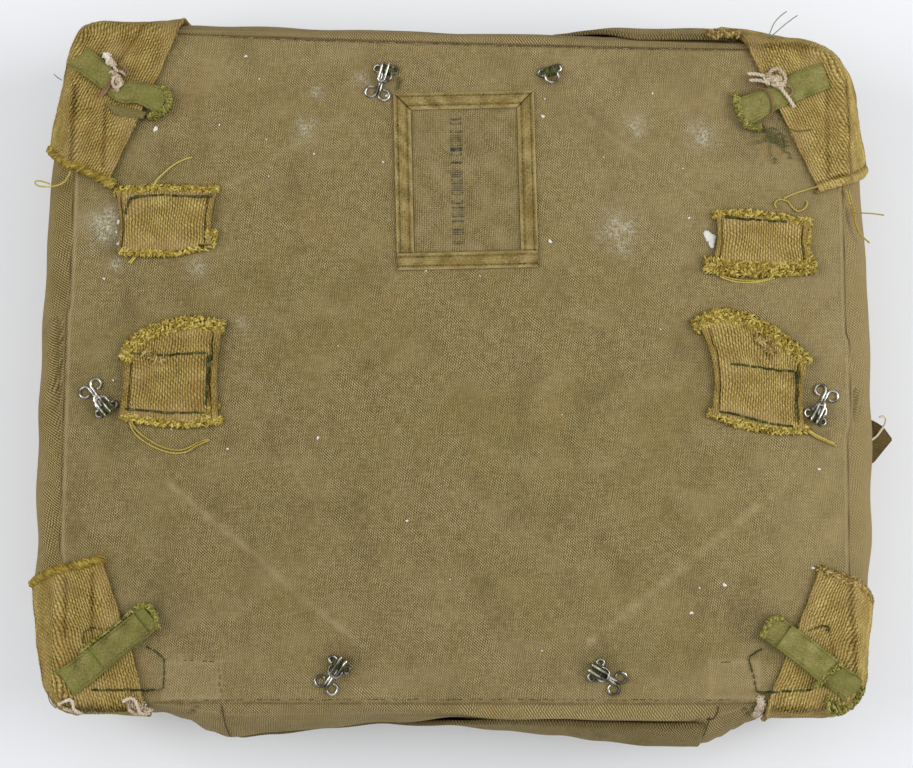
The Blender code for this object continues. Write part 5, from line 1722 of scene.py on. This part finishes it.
def build_tab():
    """Thick flat tab with softened edges, its root against the wall."""
    shape = bmesh.new()
    loop = [shape.verts.new((TAB_ROOT_X + x, y, TAB_HEIGHT - TAB_THICKNESS / 2))
            for x, y in TAB_OUTLINE]
    face = shape.faces.new(loop)
    made = bmesh.ops.extrude_face_region(shape, geom=[face])["geom"]
    for vertex in (part for part in made if isinstance(part, bmesh.types.BMVert)):
        vertex.co.z += TAB_THICKNESS
    bmesh.ops.recalc_face_normals(shape, faces=shape.faces)
    bmesh.ops.bevel(shape, geom=shape.edges[:], offset=0.0005, segments=2, affect="EDGES")
    bmesh.ops.triangulate(shape, faces=shape.faces)
    mesh = bpy.data.meshes.new("side_tab_web")
    shape.to_mesh(mesh)
    shape.free()
    points = np.array([vertex.co for vertex in mesh.vertices])
    faces = [tuple(face.vertices) for face in mesh.polygons]
    piece = put_piece("side_tab_web", points, faces, TAB_WEB, tone=np.full(len(points), 0.45))
    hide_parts("side_tab")


build_tab()
TAB_THREAD = ((-0.0012, -0.0294, 0.0014), (0.0020, -0.0270, 0.0020), (0.0042, -0.0240, 0.0030),
              (0.0060, -0.0212, 0.0038), (0.0063, -0.0186, 0.0042), (0.0050, -0.0174, 0.0046),
              (0.0030, -0.0180, 0.0044))
thread = smooth_rows(TAB_THREAD, np.linspace(0, len(TAB_THREAD) - 1, 30))
put_tubes("side_tab_thread", [thread + (TAB_ROOT_X, 0, TAB_HEIGHT)], 0.00056, LASHING_CORD,
          6, np.array([0.85]))

# ------------------------------------------------------------------ sewing in the duck cover
# Khaki thread: the seams of the seat panel and its inner patches, and the upright joins of the
# walls, which pull the cloth in a little.
KHAKI_THREAD = dyed_cotton("Khaki sewing thread", "463a1f", "82734a", "b3a57c", "6f6440",
                           grain=0.0003)
COVER_SEAMS = (            # millimetres
    ((-139.8, -132.8), (-127.4, -133.3), (-114.5, -133.8)),
    ((-114.5, -133.8), (-114, -141.9), (-113.4, -150.5)),
    ((121.5, -133.8), (116.9, -133.8), (112.3, -134.2)),
    ((-136, -151.6), (-90, -151.2), (-30, -151), (40, -151.2), (125, -151.4)),
    ((-118, 159.7), (-70, 157.8), (0, 155.5), (70, 153.8), (120, 152.8)),
)
paths = np.concatenate([stitches(metres(places), stitch=0.0022, gap=0.0008, lift=0.0003,
                                 slack=0.00022) for places in COVER_SEAMS])
put_tubes("cover_stitching", paths, 0.00024, KHAKI_THREAD, 5,
          np.random.default_rng(11).uniform(0.1, 0.8, len(paths)))
WALL_JOINS = (             # x, y and lift in millimetres
    ((-113.3, -153.6, 0.1), (-113, -158, 0.1), (-112.6, -168, 0.1), (-112.2, -180, 0.1),
     (-112, -190, 0.1)),
    ((112, -161, 0.1), (111.6, -166, 0.1), (110.8, -174, 0.1), (109.6, -184, 0.1),
     (109, -192, 0.1)),
    ((115.6, -154.4, 0.1), (115.4, -158, 0.1), (114, -162, 0.1), (112.4, -162.6, 0.1),
     (110.8, -162.4, 0.1)),
)
put_tubes("wall_joins", thread_paths(WALL_JOINS), 0.00026, KHAKI_THREAD, 5,
          np.zeros(len(WALL_JOINS)))

# ------------------------------------------------------------------ splashes of white paint
# Flat dried drops on the seat face: x, y and size in millimetres.
SPLASHES = (
    (-116.5, 116.8, 1), (-94.3, 109.7, 0.8), (-71.8, 102.8, 1.1), (-93, 92.1, 0.8),
    (-39.4, 98.8, 1.1), (-19.2, 47.3, 0.9), (6, 44.9, 0.8), (14.4, 51, 1.6),
    (35.6, 120.7, 1.7), (38.7, 61.2, 1.8), (87.3, 131.9, 1.1), (101.1, 95.9, 0.8),
    (-137.3, -26.6, 0.8), (-111, -35.8, 1.2), (-139.1, 3.7, 1.2), (-164.7, -3.8, 1),
    (-169.8, 44, 1.2), (-27.9, -69.1, 1.3), (-69.2, -30.7, 1.5), (163.2, -45.1, 1.4),
    (159.8, -90.8, 1.5), (118.7, -98.6, 1.9), (107.1, -99.9, 0.9), (103.3, -111.4, 1.6),
    (34.3, -128.7, 0.9), (103.7, 72.3, 1.2), (113.4, 63.6, 5.6), (114.4, 60.2, 3.8),
    (-163.2, 70.8, 2), (-163.1, 60.5, 1.8), (-164, 66, 1.2), (122.7, 60.9, 1.2),
    (124.1, 55.3, 1), (-146.5, 114.9, 2.4), (-37.7, 130.7, 1.6), (36.6, 129.2, 0.9),
    (136.6, 51.5, 0.9), (-150.1, 146.4, 1.4), (-18.8, 122, 0.6), (-104.5, 150, 1.4),
    (-98, 139, 0.8), (64, 101, 0.7), (-60, 12, 0.7), (44, -20, 0.7),
    (-8, -96, 0.7), (90, 20, 0.8), (-120, 0, 0.6), (133, -12, 0.7),
)


DROP_SIDES = 14
DROP_PROFILE = ((1.0, 0.0), (0.94, 0.00045), (0.6, 0.00062), (0.25, 0.00068))  # share, height


def build_splashes():
    """Each drop is a low dome with a wandering edge."""
    random = np.random.default_rng(17)
    points, faces = [], []
    around = np.arange(DROP_SIDES) * math.tau / DROP_SIDES
    for x, y, size in metres(SPLASHES):
        edge = size / 2 * (1 + 0.22 * np.sin(2 * around + random.uniform(0, 6))
                           + 0.16 * np.sin(3 * around + random.uniform(0, 6))
                           + random.normal(0, 0.05, DROP_SIDES))
        start = len(points) * DROP_SIDES
        for share, lift in DROP_PROFILE:
            ring = np.stack([x + edge * share * np.cos(around),
                             y + edge * share * np.sin(around)], axis=-1)
            points.append(raised(ring[None], lift)[0])
        for low in range(start, start + (len(DROP_PROFILE) - 1) * DROP_SIDES, DROP_SIDES):
            faces += [(low + here, low + after, low + DROP_SIDES + after, low + DROP_SIDES + here)
                      for here, after in zip(range(DROP_SIDES), (*range(1, DROP_SIDES), 0))]
        top = len(points) * DROP_SIDES
        faces.append(tuple(range(top - DROP_SIDES, top)))
        faces.append(tuple(reversed(range(start, start + DROP_SIDES))))
    return np.concatenate(points), faces


PAINT, tree, shader = new_material("Dried white paint", roughness=0.55)
mottle = add_node(tree, "TexNoise", {"Scale": 900.0, "Detail": 2.0})
ramp = colour_ramp(tree, mottle, "cfccc0", "f6f5f0")
tree.links.new(ramp.outputs[0], shader.inputs["Base Color"])
spots = put_piece("paint_splashes", *build_splashes(), PAINT)
